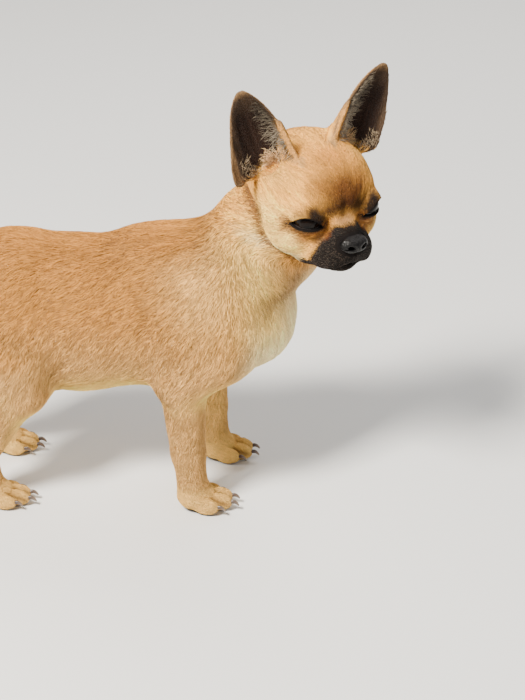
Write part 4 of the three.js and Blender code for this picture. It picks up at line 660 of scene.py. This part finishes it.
def scatter(v,faces,normals,density,rng):
    """roots spread over the faces; density per mm2 is a function of (points, normals, shares)"""
    R=[];N=[]
    for f in faces:
        if f.shape[1]!=4: continue
        p=v[f]; area=0.5*np.linalg.norm(np.cross(p[:,2]-p[:,0],p[:,3]-p[:,1]),axis=1); mid=p.mean(1); nn=normals[f].mean(1)
        k=area*density(mid,nn); c=np.floor(k+rng.random(len(k))).astype(int); i=np.repeat(np.arange(len(f)),c)
        a,b=rng.random((2,len(i)))[...,None]; pp=p[i]
        R.append(pp[:,0]*(1-a)*(1-b)+pp[:,1]*a*(1-b)+pp[:,2]*a*b+pp[:,3]*(1-a)*b); N.append(nn[i])
    R=np.concatenate(R); N=np.concatenate(N); return R,N/np.maximum(np.linalg.norm(N,axis=1),1e-9)[:,None]
# ============================== materials ==========================================
def material(name,rough,sheen=0.0,coat=0.0,specular=0.5,bump=None,mottle=None,tint=True,colour=None):
    m=bpy.data.materials.new(name); m.use_nodes=True; nt=m.node_tree; b=nt.nodes["Principled BSDF"]
    b.inputs["Roughness"].default_value=rough; b.inputs["Specular IOR Level"].default_value=specular
    b.inputs["Sheen Weight"].default_value=sheen; b.inputs["Sheen Roughness"].default_value=0.45
    b.inputs["Coat Weight"].default_value=coat; b.inputs["Coat Roughness"].default_value=0.03
    tc=nt.nodes.new("ShaderNodeTexCoord")
    if tint:
        a=nt.nodes.new("ShaderNodeAttribute"); a.attribute_name="tint"; out=a.outputs["Color"]
    else:
        r=nt.nodes.new("ShaderNodeRGB"); r.outputs[0].default_value=(*colour,1); out=r.outputs[0]
    if mottle:
        n=nt.nodes.new("ShaderNodeTexNoise"); n.inputs["Scale"].default_value=mottle[0]; n.inputs["Detail"].default_value=3
        nt.links.new(tc.outputs["Object"],n.inputs["Vector"])
        r=nt.nodes.new("ShaderNodeMapRange"); r.inputs["To Min"].default_value=1-mottle[1]; r.inputs["To Max"].default_value=1+mottle[1]*0.6; nt.links.new(n.outputs["Fac"],r.inputs["Value"])
        x=nt.nodes.new("ShaderNodeVectorMath"); x.operation='SCALE'; nt.links.new(out,x.inputs[0]); nt.links.new(r.outputs[0],x.inputs["Scale"]); out=x.outputs[0]
    nt.links.new(out,b.inputs["Base Color"])
    if bump:
        n=nt.nodes.new("ShaderNodeTexNoise" if bump[3]=='noise' else "ShaderNodeTexVoronoi"); n.inputs["Scale"].default_value=bump[0]
        nt.links.new(tc.outputs["Object"],n.inputs["Vector"])
        k=nt.nodes.new("ShaderNodeBump"); k.inputs["Strength"].default_value=bump[1]; k.inputs["Distance"].default_value=bump[2]
        nt.links.new(n.outputs["Fac" if bump[3]=='noise' else "Distance"],k.inputs["Height"]); nt.links.new(k.outputs[0],b.inputs["Normal"])
    return m
COAT=material("coat",0.70,sheen=0.03,specular=0.14,mottle=(90.0,0.10))
SKIN=material("coat_under",0.85,specular=0.10,bump=(1500.0,0.5,0.0003,'noise'),mottle=(90.0,0.10))
EYE=material("eye_wet",0.15,coat=0.0,specular=0.10,mottle=(900.0,0.12))
WET=material("lid_wet",0.12,coat=0.8,specular=0.6,mottle=(700.0,0.10))
LEATHER=material("nose_leather",0.36,coat=0.0,specular=0.20,bump=(1300.0,0.8,0.0003,'cells'),mottle=(400.0,0.2))
HORN=material("claw_horn",0.38,specular=0.5,coat=0.2,mottle=(700.0,0.25))
# ============================== the skin ===========================================
T0=time.time()
def tell(s): print('[dog] %5.1f s  %s'%(time.time()-T0,s),flush=True)
STEP=0.85
G=Grid(skin,(-152,-60,-5),(124,58,248),STEP,1.2,4.2)
tell('field %d'%G.count)
SV,SQ=G.nets(); SV=settle(SV,skin)
mid=SV[SQ].mean(1); hq=to_head(mid)
pick=(hq[:,0]>16)&(hq[:,2]<22)&(shares(mid)['head']>0.5)
for _e in EARF.values():
    _l=_e.local(mid); _t=_l[:,0]/_e.e['length']; pick|=(np.abs(_l[:,2]-_e.cup(np.clip(_t,0,1),_l[:,1]))<4)&(np.abs(_l[:,1])>_e.half(_t,_l[:,1])-2.2)&(np.abs(_l[:,1])<_e.half(_t,_l[:,1])+3)&(_t>-0.12)&(_t<1.08)
SV,SF=refine(SV,SQ,pick); new=np.arange(len(SV))>=len(SV)-int(pick.sum())*0
touched=np.zeros(len(SV),bool); touched[np.unique(SF[0][-4*int(pick.sum()):])]=True
SV[touched]=settle(SV[touched],skin)
SV[:,2]=np.maximum(SV[:,2],0.02)
SN=face_normals(SV,SF); tell('skin %d points, %d faces'%(len(SV),sum(len(f) for f in SF)))
SW=shares(SV); tint=markings(SV,SN,SW)
FLESH=['trunk','neck','head','face','lower_jaw','tail']+[a+'_'+b for a in ('ear','foreleg','forepaw','thigh','hindleg','hindpaw') for b in ('right','left')]
# the skin takes the coat's markings, darkened a little (0.94) as painted shade under the coat
o=piece('skin',held(SV),SF,SKIN,tint*0.94,unwrap_faces(SV,SN,SF),mm=False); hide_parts(*FLESH); tell('skin piece')
# ============================== the coat ===========================================
def bare(p,n,w):
    """1 where no hair grows: eyes, rims, nose, lips, pads"""
    q=w['q']; b=np.zeros(len(p))
    for s in (-1,1):
        l=(q-eye_at(s))@EYE_FRAMES[s]; b=np.maximum(b,((lid_edge(l)<0.75)&(np.linalg.norm(l,axis=1)<13)&(l[:,0]>0)))
    c,r=np.array(NOSE['centre']),np.array(NOSE['radii']); b=np.maximum(b,np.linalg.norm((q-c)/r,axis=1)<1.22)
    b=np.maximum(b,(np.abs(mouth_line(q))<0.7)&(q[:,0]>22)&(w['head']>0.5))
    b=np.maximum(b,(p[:,2]<1.2)&(n[:,2]<-0.2)); b=np.maximum(b,(n[:,2]<-0.55)&(p[:,2]<4))
    return b
def ear_inside(p,n,w):
    f=np.zeros(len(p)); t=np.zeros(len(p)); med=np.zeros(len(p))
    for e in EARF.values():
        d=p-e.mid; near=(np.einsum('ij,ij->i',d,d)<(e.rad+6)**2)&(w['ear']>0.3)
        if near.any():
            l=e.local(p[near]); tt=l[:,0]/e.e['length']; f[near]=(n[near]@e.M)[:,2]>0.1; t[near]=tt; med[near]=-l[:,1]/np.maximum(e.half(np.clip(tt,0,1)),1)*e.e['side']
    return f,t,med
def lengths(p,n,w):
    """hair length, lock width and locks per mm2"""
    z=p[:,2]; q=w['q']
    L=9.0+1.8*smoothstep(100,74,z)*(1-w['low']); W=np.full(len(p),0.37); D=np.full(len(p),2.20)
    nk=w['neck']; L=L*(1-nk)+9.5*nk
    chest=smoothstep(40,60,p[:,0])*smoothstep(0,0.6,n[:,0])*(1-w['head']); L=L+1.2*chest
    lo=w['low']; L=L*(1-lo)+4.4*lo; W=W*(1-lo)+0.42*lo; D=D*(1-lo)+2.4*lo
    ft=w['foot']; L=L*(1-ft)+2.3*ft; W=W*(1-ft)+0.34*ft; D=D*(1-ft)+3.8*ft
    tl=w['tail']; L=L*(1-tl)+5.6*tl; W=W*(1-tl)+0.42*tl; D=D*(1-tl)+2.4*tl
    hd=w['head']; f=smoothstep(-14,26,q[:,0]); s=smoothstep(27,34,q[:,0])
    hl=5.0*(1-f)+3.0*f; hl=hl*(1-s)+1.35*s; hl=hl+1.3*bump(q[:,0]-2,12)*smoothstep(4,-10,q[:,2]); hw=0.46*(1-f)+0.36*f; hw=hw*(1-s)+0.27*s; hD=2.8*(1-f)+4.2*f; hD=hD*(1-s)+6.5*s
    L=L*(1-hd)+hl*hd; W=W*(1-hd)+hw*hd; D=D*(1-hd)+hD*hd
    er=w['ear']; L=L*(1-er)+2.1*er; W=W*(1-er)+0.38*er; D=D*(1-er)+2.6*er
    return L,W,D
def density(p,n):
    w=shares(p); L,W,D=lengths(p,n,w); return D*(1-bare(p,n,w))*1.0
NOISE=RNG.normal(0,1,(64,64,64))
def ripple(p):
    """smooth noise over cells of 1"""
    i=np.floor(p).astype(int); f=p-i; f=f*f*(3-2*f); s=np.zeros(len(p))
    for a in (0,1):
        for b in (0,1):
            for c in (0,1):
                s+=NOISE[(i[:,0]+a)%64,(i[:,1]+b)%64,(i[:,2]+c)%64]*(f[:,0] if a else 1-f[:,0])*(f[:,1] if b else 1-f[:,1])*(f[:,2] if c else 1-f[:,2])
    return s
def streaks(p,d):
    """noise drawn out along the lie of the hair: locks of one strand are alike"""
    s=sum(ripple((p+d*(k*1.3))/0.85)+0.42*ripple((p+d*(k*1.9))/2.2+31.7) for k in range(-4,5))
    return s/s.std()
R,N=scatter(SV,SF,SN,density,RNG); tell('roots %d'%len(R))
order=np.argsort(R[:,0]); R,N=R[order],N[order]
w=shares(R); L,W,_=lengths(R,N,w); inside,et,em=ear_inside(R,N,w)
stray=RNG.normal(0,1,R.shape)*(((0.75-0.35*smoothstep(16,24,w['q'][:,0]))*w['head']+1.3*(1-w['head']))*(1-w['ear'])*(1-w['foot']))[:,None]; tint=markings(R+stray,N); still=markings(R,N)
for s in (-1,1):
    l=(w['q']-eye_at(s))@EYE_FRAMES[s]; nearby=(np.einsum('ij,ij->i',l,l)<15**2)&(l[:,0]>-3)&(l[:,2]>-1)&(lid_edge(l)>0.8)
    tint=np.where(nearby[:,None],np.maximum(tint,still*0.92),tint)
direction=lie(R,N,w); uv=unwrap_points(R,N,w)
m=len(R); depth=coat_depth(R,w); depth=np.where(w['ear']>0.4,0.42,depth)
L=L*RNG.uniform(0.72,1.25,m); W=W*RNG.uniform(0.75,1.25,m)
direction=direction+np.cross(N,direction)*RNG.normal(0,0.075+0.04*w['head'],m)[:,None]; direction/=np.linalg.norm(direction,axis=1)[:,None]
streak=streaks(R,direction); light=(1.0+RNG.normal(0,0.07+0.055*w['head'],m)+(0.092+0.065*w['head'])*streak)[:,None]; tint=np.clip(tint*light,0,1)
fleece=np.clip(0.35+0.3*RNG.random(m)+0.20*streak,0,1)
# sable-tipped hairs scattered over the fawn of the back, brow and ears
lum=tint@np.array([0.3,0.6,0.1]); dark=(RNG.random(m)<0.10*smoothstep(0.10,0.2,lum)*(1-w['low'])*smoothstep(0.45,0.30,lum))
tips=np.where(dark[:,None],tint*np.array([0.62,0.55,0.48]),tint*1.05)
grey=(w['head']>0.5)&(w['q'][:,0]>28)&(w['q'][:,2]<-2)&(lum<0.06)&(RNG.random(m)<0.28); tips[grey]=srgb(118,102,88)
REGIONS=[('coat_head',(w['head']>0.5)&(w['ear']<=0.4)&(w['q'][:,0]<=20)),('coat_face',(w['head']>0.5)&(w['ear']<=0.4)&(w['q'][:,0]>20)),('coat_ears',w['ear']>0.4),
 ('coat_tail',w['tail']>0.5),('coat_legs',(R[:,2]<62)&(w['tail']<=0.5)),
 ('coat_neck',(w['neck']>0.5)&(w['head']<=0.5))]
done=np.zeros(m,bool); total=0
def lay(name,sel,rings):
    """one coat piece, or several where it would be too large"""
    global total
    idx=np.flatnonzero(sel); most=190000//(12 if rings==2 else 6); parts=max(1,math.ceil(len(idx)/most))
    for k,i in enumerate(np.array_split(idx,parts)):
        if not len(i): continue
        dp=depth[i]; h=[dp*0.34,dp*(0.45+0.25*fleece[i]),dp*(0.30+0.62*fleece[i])] if rings==2 else [dp*(0.16+0.34*fleece[i]),dp*(0.10+0.50*fleece[i])]
        v,f,c,u=locks(G,R[i],N[i],direction[i],L[i],W[i],h,tint[i],uv[i],rings,RNG,tip=tips[i])
        piece(name if parts==1 else name+'_%d'%(k+1),held(v),f,COAT,np.clip(c,0,1),u,mm=False); total+=len(f)
for name,sel in REGIONS:
    sel=sel&~done; done|=sel; lay(name,sel,1)
lay('coat_body_right',~done&(R[:,1]<=0),1); lay('coat_body_left',~done&(R[:,1]>0),1)
tell('coat %d triangles'%total)
# long soft hairs of the ears: pale fringe along the inner edge, a cream tuft at the root
fr=[]
for name,e in EARF.items():
    k=330 if name=='ear_right' else 520; t=0.10+RNG.beta(1.5,2.0,k)*0.76; med=-e.e['side']; u=(0.88-0.50*RNG.random(k)**1.7)*med; hw=e.half(t)
    # the right ear's fringe is painted 0.75 as bright as the left one's: painted shade
    fr.append((e,t,u*hw,np.stack([1.8*(t-0.30),-1.0*np.sign(u),0.28+0*t],1),RNG.uniform(2.6,6.4,k)*(1-0.35*t),GREY_HAIR*((RNG.uniform(0.18,0.55,k)+0.60*np.exp(-((t-0.34)/0.14)**2)*RNG.uniform(0.5,1,k))*(0.75 if name=='ear_right' else 1.0))[:,None]))
    k=360; t=RNG.uniform(-0.03,0.05+0.11*RNG.random(k),k); u=RNG.uniform(0.05,0.76,k)*med; hw=e.half(t)
    fr.append((e,t,u*hw,np.stack([0.95+0*t,-0.45*np.sign(u),0.30+0*t],1),RNG.uniform(4.0,8.0,k),srgb(250,204,152)*RNG.uniform(0.80,1.15,k)[:,None]))
    k=120; t=RNG.uniform(0.0,0.24,k); u=-RNG.uniform(0.50,0.85,k)*med; hw=e.half(t)
    fr.append((e,t,u*hw,np.stack([0.75+0*t,-0.70*np.sign(u),0.30+0*t],1),RNG.uniform(1.8,3.6,k)*(1-0.5*t),srgb(196,172,140)*RNG.uniform(0.4,1.1,k)[:,None]))
VV=[];FF=[];CC=[];UU=[];base=0
for e,t,b,go,ln,col in fr:
    root=e.place(np.stack([t*e.e['length'],b,e.cup(t,b)+EAR_THICKNESS-0.6*t-0.34],1)); f,nn=G.sample(root); ok=(np.abs(f)<2.5)&((nn@e.M)[:,2]>0.2); root=root-nn*f[:,None]
    root,nn,go,ln,col,t=root[ok],nn[ok],go[ok],ln[ok],col[ok],t[ok]; k=len(root)
    go=(go+RNG.normal(0,0.11,go.shape))@e.M.T; go/=np.linalg.norm(go,axis=1)[:,None]
    ww=shares(root); dp=np.full(k,1.0); col=np.clip(col*RNG.normal(0.95,0.14,k)[:,None],0,1)
    lift=[0.5+0*ln,0.9+0.10*ln*RNG.random(k),0.8+0.22*ln*RNG.random(k)]
    tang=go-nn*np.einsum('ij,ij->i',go,nn)[:,None]; tang/=np.linalg.norm(tang,axis=1)[:,None]
    v,f2,c,u2=locks(G,root,nn,tang,ln,RNG.uniform(0.18,0.30,k)*(1),lift,col,unwrap_points(root,nn,ww),2,RNG,curl=0.16,shade=(0.55,0.9,1.1))
    VV.append(v);FF.append(f2+base);CC.append(c);UU.append(u2); base+=len(v)
piece('ear_fringe',held(np.concatenate(VV)),np.concatenate(FF),COAT,np.clip(np.concatenate(CC),0,1),np.concatenate(UU),mm=False); tell('ear fringe')
# ============================== eyes ===============================================
for s,side in ((-1,'right'),(1,'left')):
    yaw,pitch=math.radians(s*30),math.radians(-20); g=np.array([math.cos(pitch)*math.cos(yaw),math.cos(pitch)*math.sin(yaw),math.sin(pitch)])
    a=unit(np.cross((0,0,1),g)); b=np.cross(g,a); nu,nv=72,56; th=np.concatenate([np.linspace(0,52,36),np.linspace(56,180,20)])*math.pi/180; ph=np.arange(nu)*2*math.pi/nu
    cor=0.42*smoothstep(44,26,np.degrees(th)); r=EYEBALL-0.05+cor
    V=[];C=[]
    for i,t in enumerate(th):
        for p_ in ph:
            V.append(r[i]*(math.cos(t)*g+math.sin(t)*(math.cos(p_)*a+math.sin(p_)*b)))
        d=math.degrees(t); st=0.80+0.30*np.abs(np.sin(ph*23+2.1*np.sin(ph*5)+t*9))*np.abs(np.cos(ph*11))
        iris=srgb(17,10,7); pupil=srgb(4,3,3); white=srgb(30,22,18); limb=srgb(14,10,9)
        for j in range(nu):
            c=pupil*(1-smoothstep(15,17,d))+iris*st[j]*smoothstep(15,17,d); c=c*(1-smoothstep(37,41,d))+limb*smoothstep(37,41,d); c=c*(1-smoothstep(45,54,d))+white*smoothstep(45,54,d); C.append(c)
    V=np.array(V); nr=len(th)
    F=np.array([[i*nu+j,i*nu+(j+1)%nu,(i+1)*nu+(j+1)%nu,(i+1)*nu+j] for i in range(1,nr-2) for j in range(nu)])
    # the two ends close on single points
    V=np.concatenate([V[nu:(nr-1)*nu],[r[0]*g],[-r[-1]*g]]); C=np.array(C); C=np.concatenate([C[nu:(nr-1)*nu],[pupil],[white]]); F=F-nu; top,bot=len(V)-2,len(V)-1
    T=np.array([[top,j,(j+1)%nu] for j in range(nu)]+[[bot,(nr-3)*nu+(j+1)%nu,(nr-3)*nu+j] for j in range(nu)])
    W_=from_head(V+eye_at(s))
    if volume_sign(W_,T)<0: T=T[:,::-1]
    if volume_sign(W_,F[:,:3])<0: F=F[:,::-1]
    o=piece('eye_%s_ball'%side,held(W_),[F,T],EYE,C,mm=False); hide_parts('eye_'+side)
    # the wet margin of the lower lid
    k=40; aa=np.linspace(-0.93,0.93,k); y=aa*OPENING['width']/2; z=-OPENING['below']*np.power(1-aa*aa,0.8)-0.2-2.3*aa*aa+0.28; rr=EYEBALL+0.20
    x=np.sqrt(np.clip(rr*rr-y*y-z*z,0.1,None)); path=np.stack([x,y,z],1); V=[];n=8
    for i in range(k):
        tg=unit(path[min(i+1,k-1)]-path[max(i-1,0)]); o1=unit(path[i]-tg*(tg@path[i])); o2=np.cross(tg,o1); ra=0.30*math.sqrt(max(0.05,1-aa[i]**2))
        for j in range(n): q_=2*math.pi*j/n; V.append(path[i]+ra*(math.cos(q_)*o1*0.8+math.sin(q_)*o2))
    V=np.array(V); F=np.array([[i*n+j,i*n+(j+1)%n,(i+1)*n+(j+1)%n,(i+1)*n+j] for i in range(k-1) for j in range(n)]); e0=np.array([[i for i in range(n)][::-1],[(k-1)*n+i for i in range(n)]])
    V=from_head(V@EYE_FRAMES[s].T+eye_at(s));
    if volume_sign(V,F[:,:3])<0: F=F[:,::-1]; e0=e0[:,::-1]
    piece('lid_margin_'+side,held(V),[F,e0],WET,np.tile(srgb(44,34,32),(len(V),1)),mm=False)
tell('eyes')
# ============================== nose ===============================================
def nose(q,cull=0,detail=True):
    c,r=np.array(NOSE['centre']),np.array(NOSE['radii'])-0.12
    x,y,z=(q-c).T; ay=np.abs(y)
    a=(q-c)/r; k0=np.linalg.norm(a,axis=1); k1=np.linalg.norm(a/r,axis=1); d=k0*(k0-1)/np.maximum(k1,1e-9)
    d=smax(d,z*0.96+x*0.28-4.0,1.4)                                            # a flatter top
    d=d+0.55*bump(y,0.42)*smoothstep(2.6,0.6,z)*smoothstep(0,2,x)                # the split down the middle
    wing=np.sqrt(((ay-3.25)/2.35)**2+((z-0.05)/1.8)**2)
    d=d-0.35*bump(wing-1.25,0.42)*smoothstep(1,3,x)                             # the rim round each nostril
    hole=np.sqrt(((ay-3.35)/1.75)**2+((z-0.15-0.20*(ay-3.35))/1.15)**2); hole=(hole-1)*1.1
    slit=np.sqrt(((z+0.3+0.26*(ay-3.9))/0.40)**2+(np.clip(4.1-ay,0,9)/0.5)**2+(np.clip(ay-7.0,0,9)/0.5)**2); slit=(slit-1)*0.40
    deep=1.6-x*0.9-ay*0.16
    d=smax(d,-np.maximum(hole,deep-0.5),0.30)
    d=smax(d,-np.maximum(slit,np.abs(d)-0.9),0.2)
    return d
NG=Grid(nose,(33,-9,-14),(48,9,0),0.24,8,8); NV,NF=NG.nets(); NV=settle(NV,nose)
# nose leather near black: darker inside the nostrils as painted shade, lighter over the top as a painted highlight
nc=np.tile(srgb(13,12,12),(len(NV),1)); hole=np.sqrt(((np.abs(NV[:,1])-3.35)/1.75)**2+((NV[:,2]-NOSE['centre'][2]-0.15)/1.15)**2)
nc=over(nc,srgb(6,5,6),smoothstep(1.15,0.8,hole)*(NV[:,0]>41)); nc=over(nc,srgb(24,21,20),0.5*smoothstep(1.5,3.5,NV[:,2]-NOSE['centre'][2]))
o=piece('nose_pad',held(from_head(NV)),NF,LEATHER,nc,mm=False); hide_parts('nose'); tell('nose')
# ============================== claws ==============================================
CLAW=dict(length=2.9,radius=1.25,clear=0.35)
for pawname,q0 in PAWS.items():
    for i,t in enumerate(TOES):
        c=np.array(toe_place(q0,t)); yaw=math.radians(t[0]*q0['splay']); go=np.array([math.cos(yaw),math.sin(yaw),0]); sd=np.array([-math.sin(yaw),math.cos(yaw),0]); reach=q0['length']*0.15; start=c+[0,0,0.5]
        while whole((start+go*reach)[None])[0]<CLAW['clear']: reach+=0.05
        p0=start+go*reach; rows,n=12,14; V=[]
        for k in range(rows):
            u=-0.55+1.53*k/(rows-1); up=max(u,0); mid=p0+go*CLAW['length']*u+np.array([0,0,-2.2*up*up+0.35*min(u,0)]); ra=CLAW['radius']*0.98*(1-0.66*up**1.5); dn=math.atan2(4.4*up,CLAW['length'])
            upv=np.array([0,0,1])*math.cos(dn)+go*math.sin(dn)
            for j in range(n):
                a=2*math.pi*j/n; V.append(mid+sd*math.cos(a)*ra*0.74+upv*math.sin(a)*ra*(1.0 if math.sin(a)>0 else 0.80))
        V.append(p0+go*CLAW['length']*1.0+np.array([0,0,-2.22])); V.append(p0-go*CLAW['length']*0.6); V=np.array(V)
        F=np.array([[k*n+j,k*n+(j+1)%n,(k+1)*n+(j+1)%n,(k+1)*n+j] for k in range(rows-1) for j in range(n)]); T=np.array([[(rows-1)*n+j,(rows-1)*n+(j+1)%n,rows*n] for j in range(n)]+[[(j+1)%n,j,rows*n+1] for j in range(n)])
        V[:,2]=np.maximum(V[:,2],0.05)
        if volume_sign(V,F[:,:3])<0: F=F[:,::-1]; T=T[:,::-1]
        u=np.clip((V-p0)@go/CLAW['length'],0,1); col=srgb(74,58,48)*(1-u[:,None])+srgb(128,108,90)*u[:,None]
        number=4-i if q0['y']<0 else i+1
        o=piece('horn_%s_%d'%(pawname,number),held(V),[F,T],HORN,col,mm=False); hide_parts('claw_%s_%d'%(pawname,number))
tell('claws')
# ============================== floor, light, camera ===============================
me=bpy.data.meshes.new('floor'); S=7.0; fill_mesh(me,np.array([[-S,-S,-0.0002],[S,-S,-0.0002],[S,S,-0.0002],[-S,S,-0.0002]]),np.arange(4),np.array([0]))
fl=bpy.data.objects.new('floor',me); bpy.context.collection.objects.link(fl)
me.materials.append(material('floor_plain',0.8,specular=0.2,tint=False,colour=(0.74,0.735,0.72),mottle=(3.0,0.015)))
world=bpy.data.worlds.new('studio'); bpy.context.scene.world=world; world.use_nodes=True; bg=world.node_tree.nodes['Background']; bg.inputs[0].default_value=(0.97,0.98,1.0,1); bg.inputs[1].default_value=0.36
def lamp(name,az,el,dist,size,power,colour):
    a,e=math.radians(az),math.radians(el); d=np.array([math.sin(a)*math.cos(e),-math.cos(a)*math.cos(e),math.sin(e)])
    l=bpy.data.lights.new(name,'AREA'); l.energy=power; l.size=size; l.color=colour; o=bpy.data.objects.new(name,l); bpy.context.collection.objects.link(o)
    at=np.array([0.02,0,0.11])+d*dist; o.location=at.tolist(); o.rotation_mode='QUATERNION'; o.rotation_quaternion=Vector((-d).tolist()).to_track_quat('-Z','Y')
lamp('key',-38,52,1.3,0.30,55.0,(1.0,0.95,0.865)); lamp('fill',55,30,1.5,1.0,2.6,(0.92,0.96,1.0)); lamp('back',160,50,1.4,0.8,13.0,(1.0,0.98,0.95))
CAMERA=dict(target=(50.7,0,82.8),distance=900,azimuth=3,elevation=30,per_pixel=0.52)
a,e=math.radians(CAMERA['azimuth']),math.radians(CAMERA['elevation']); back=np.array([math.sin(a)*math.cos(e),-math.cos(a)*math.cos(e),math.sin(e)])
cd=bpy.data.cameras.new('camera'); cd.sensor_width=36.0; cd.lens=CAMERA['distance']/CAMERA['per_pixel']/700*36.0; cd.clip_start=0.05; cd.clip_end=20
cam=bpy.data.objects.new('camera',cd); bpy.context.collection.objects.link(cam); cam.location=to_row(np.array(CAMERA['target'])+back*CAMERA['distance']).tolist()
cam.rotation_mode='QUATERNION'; cam.rotation_quaternion=Vector((-back).tolist()).to_track_quat('-Z','Y'); bpy.context.scene.camera=cam
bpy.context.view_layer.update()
tell('done')
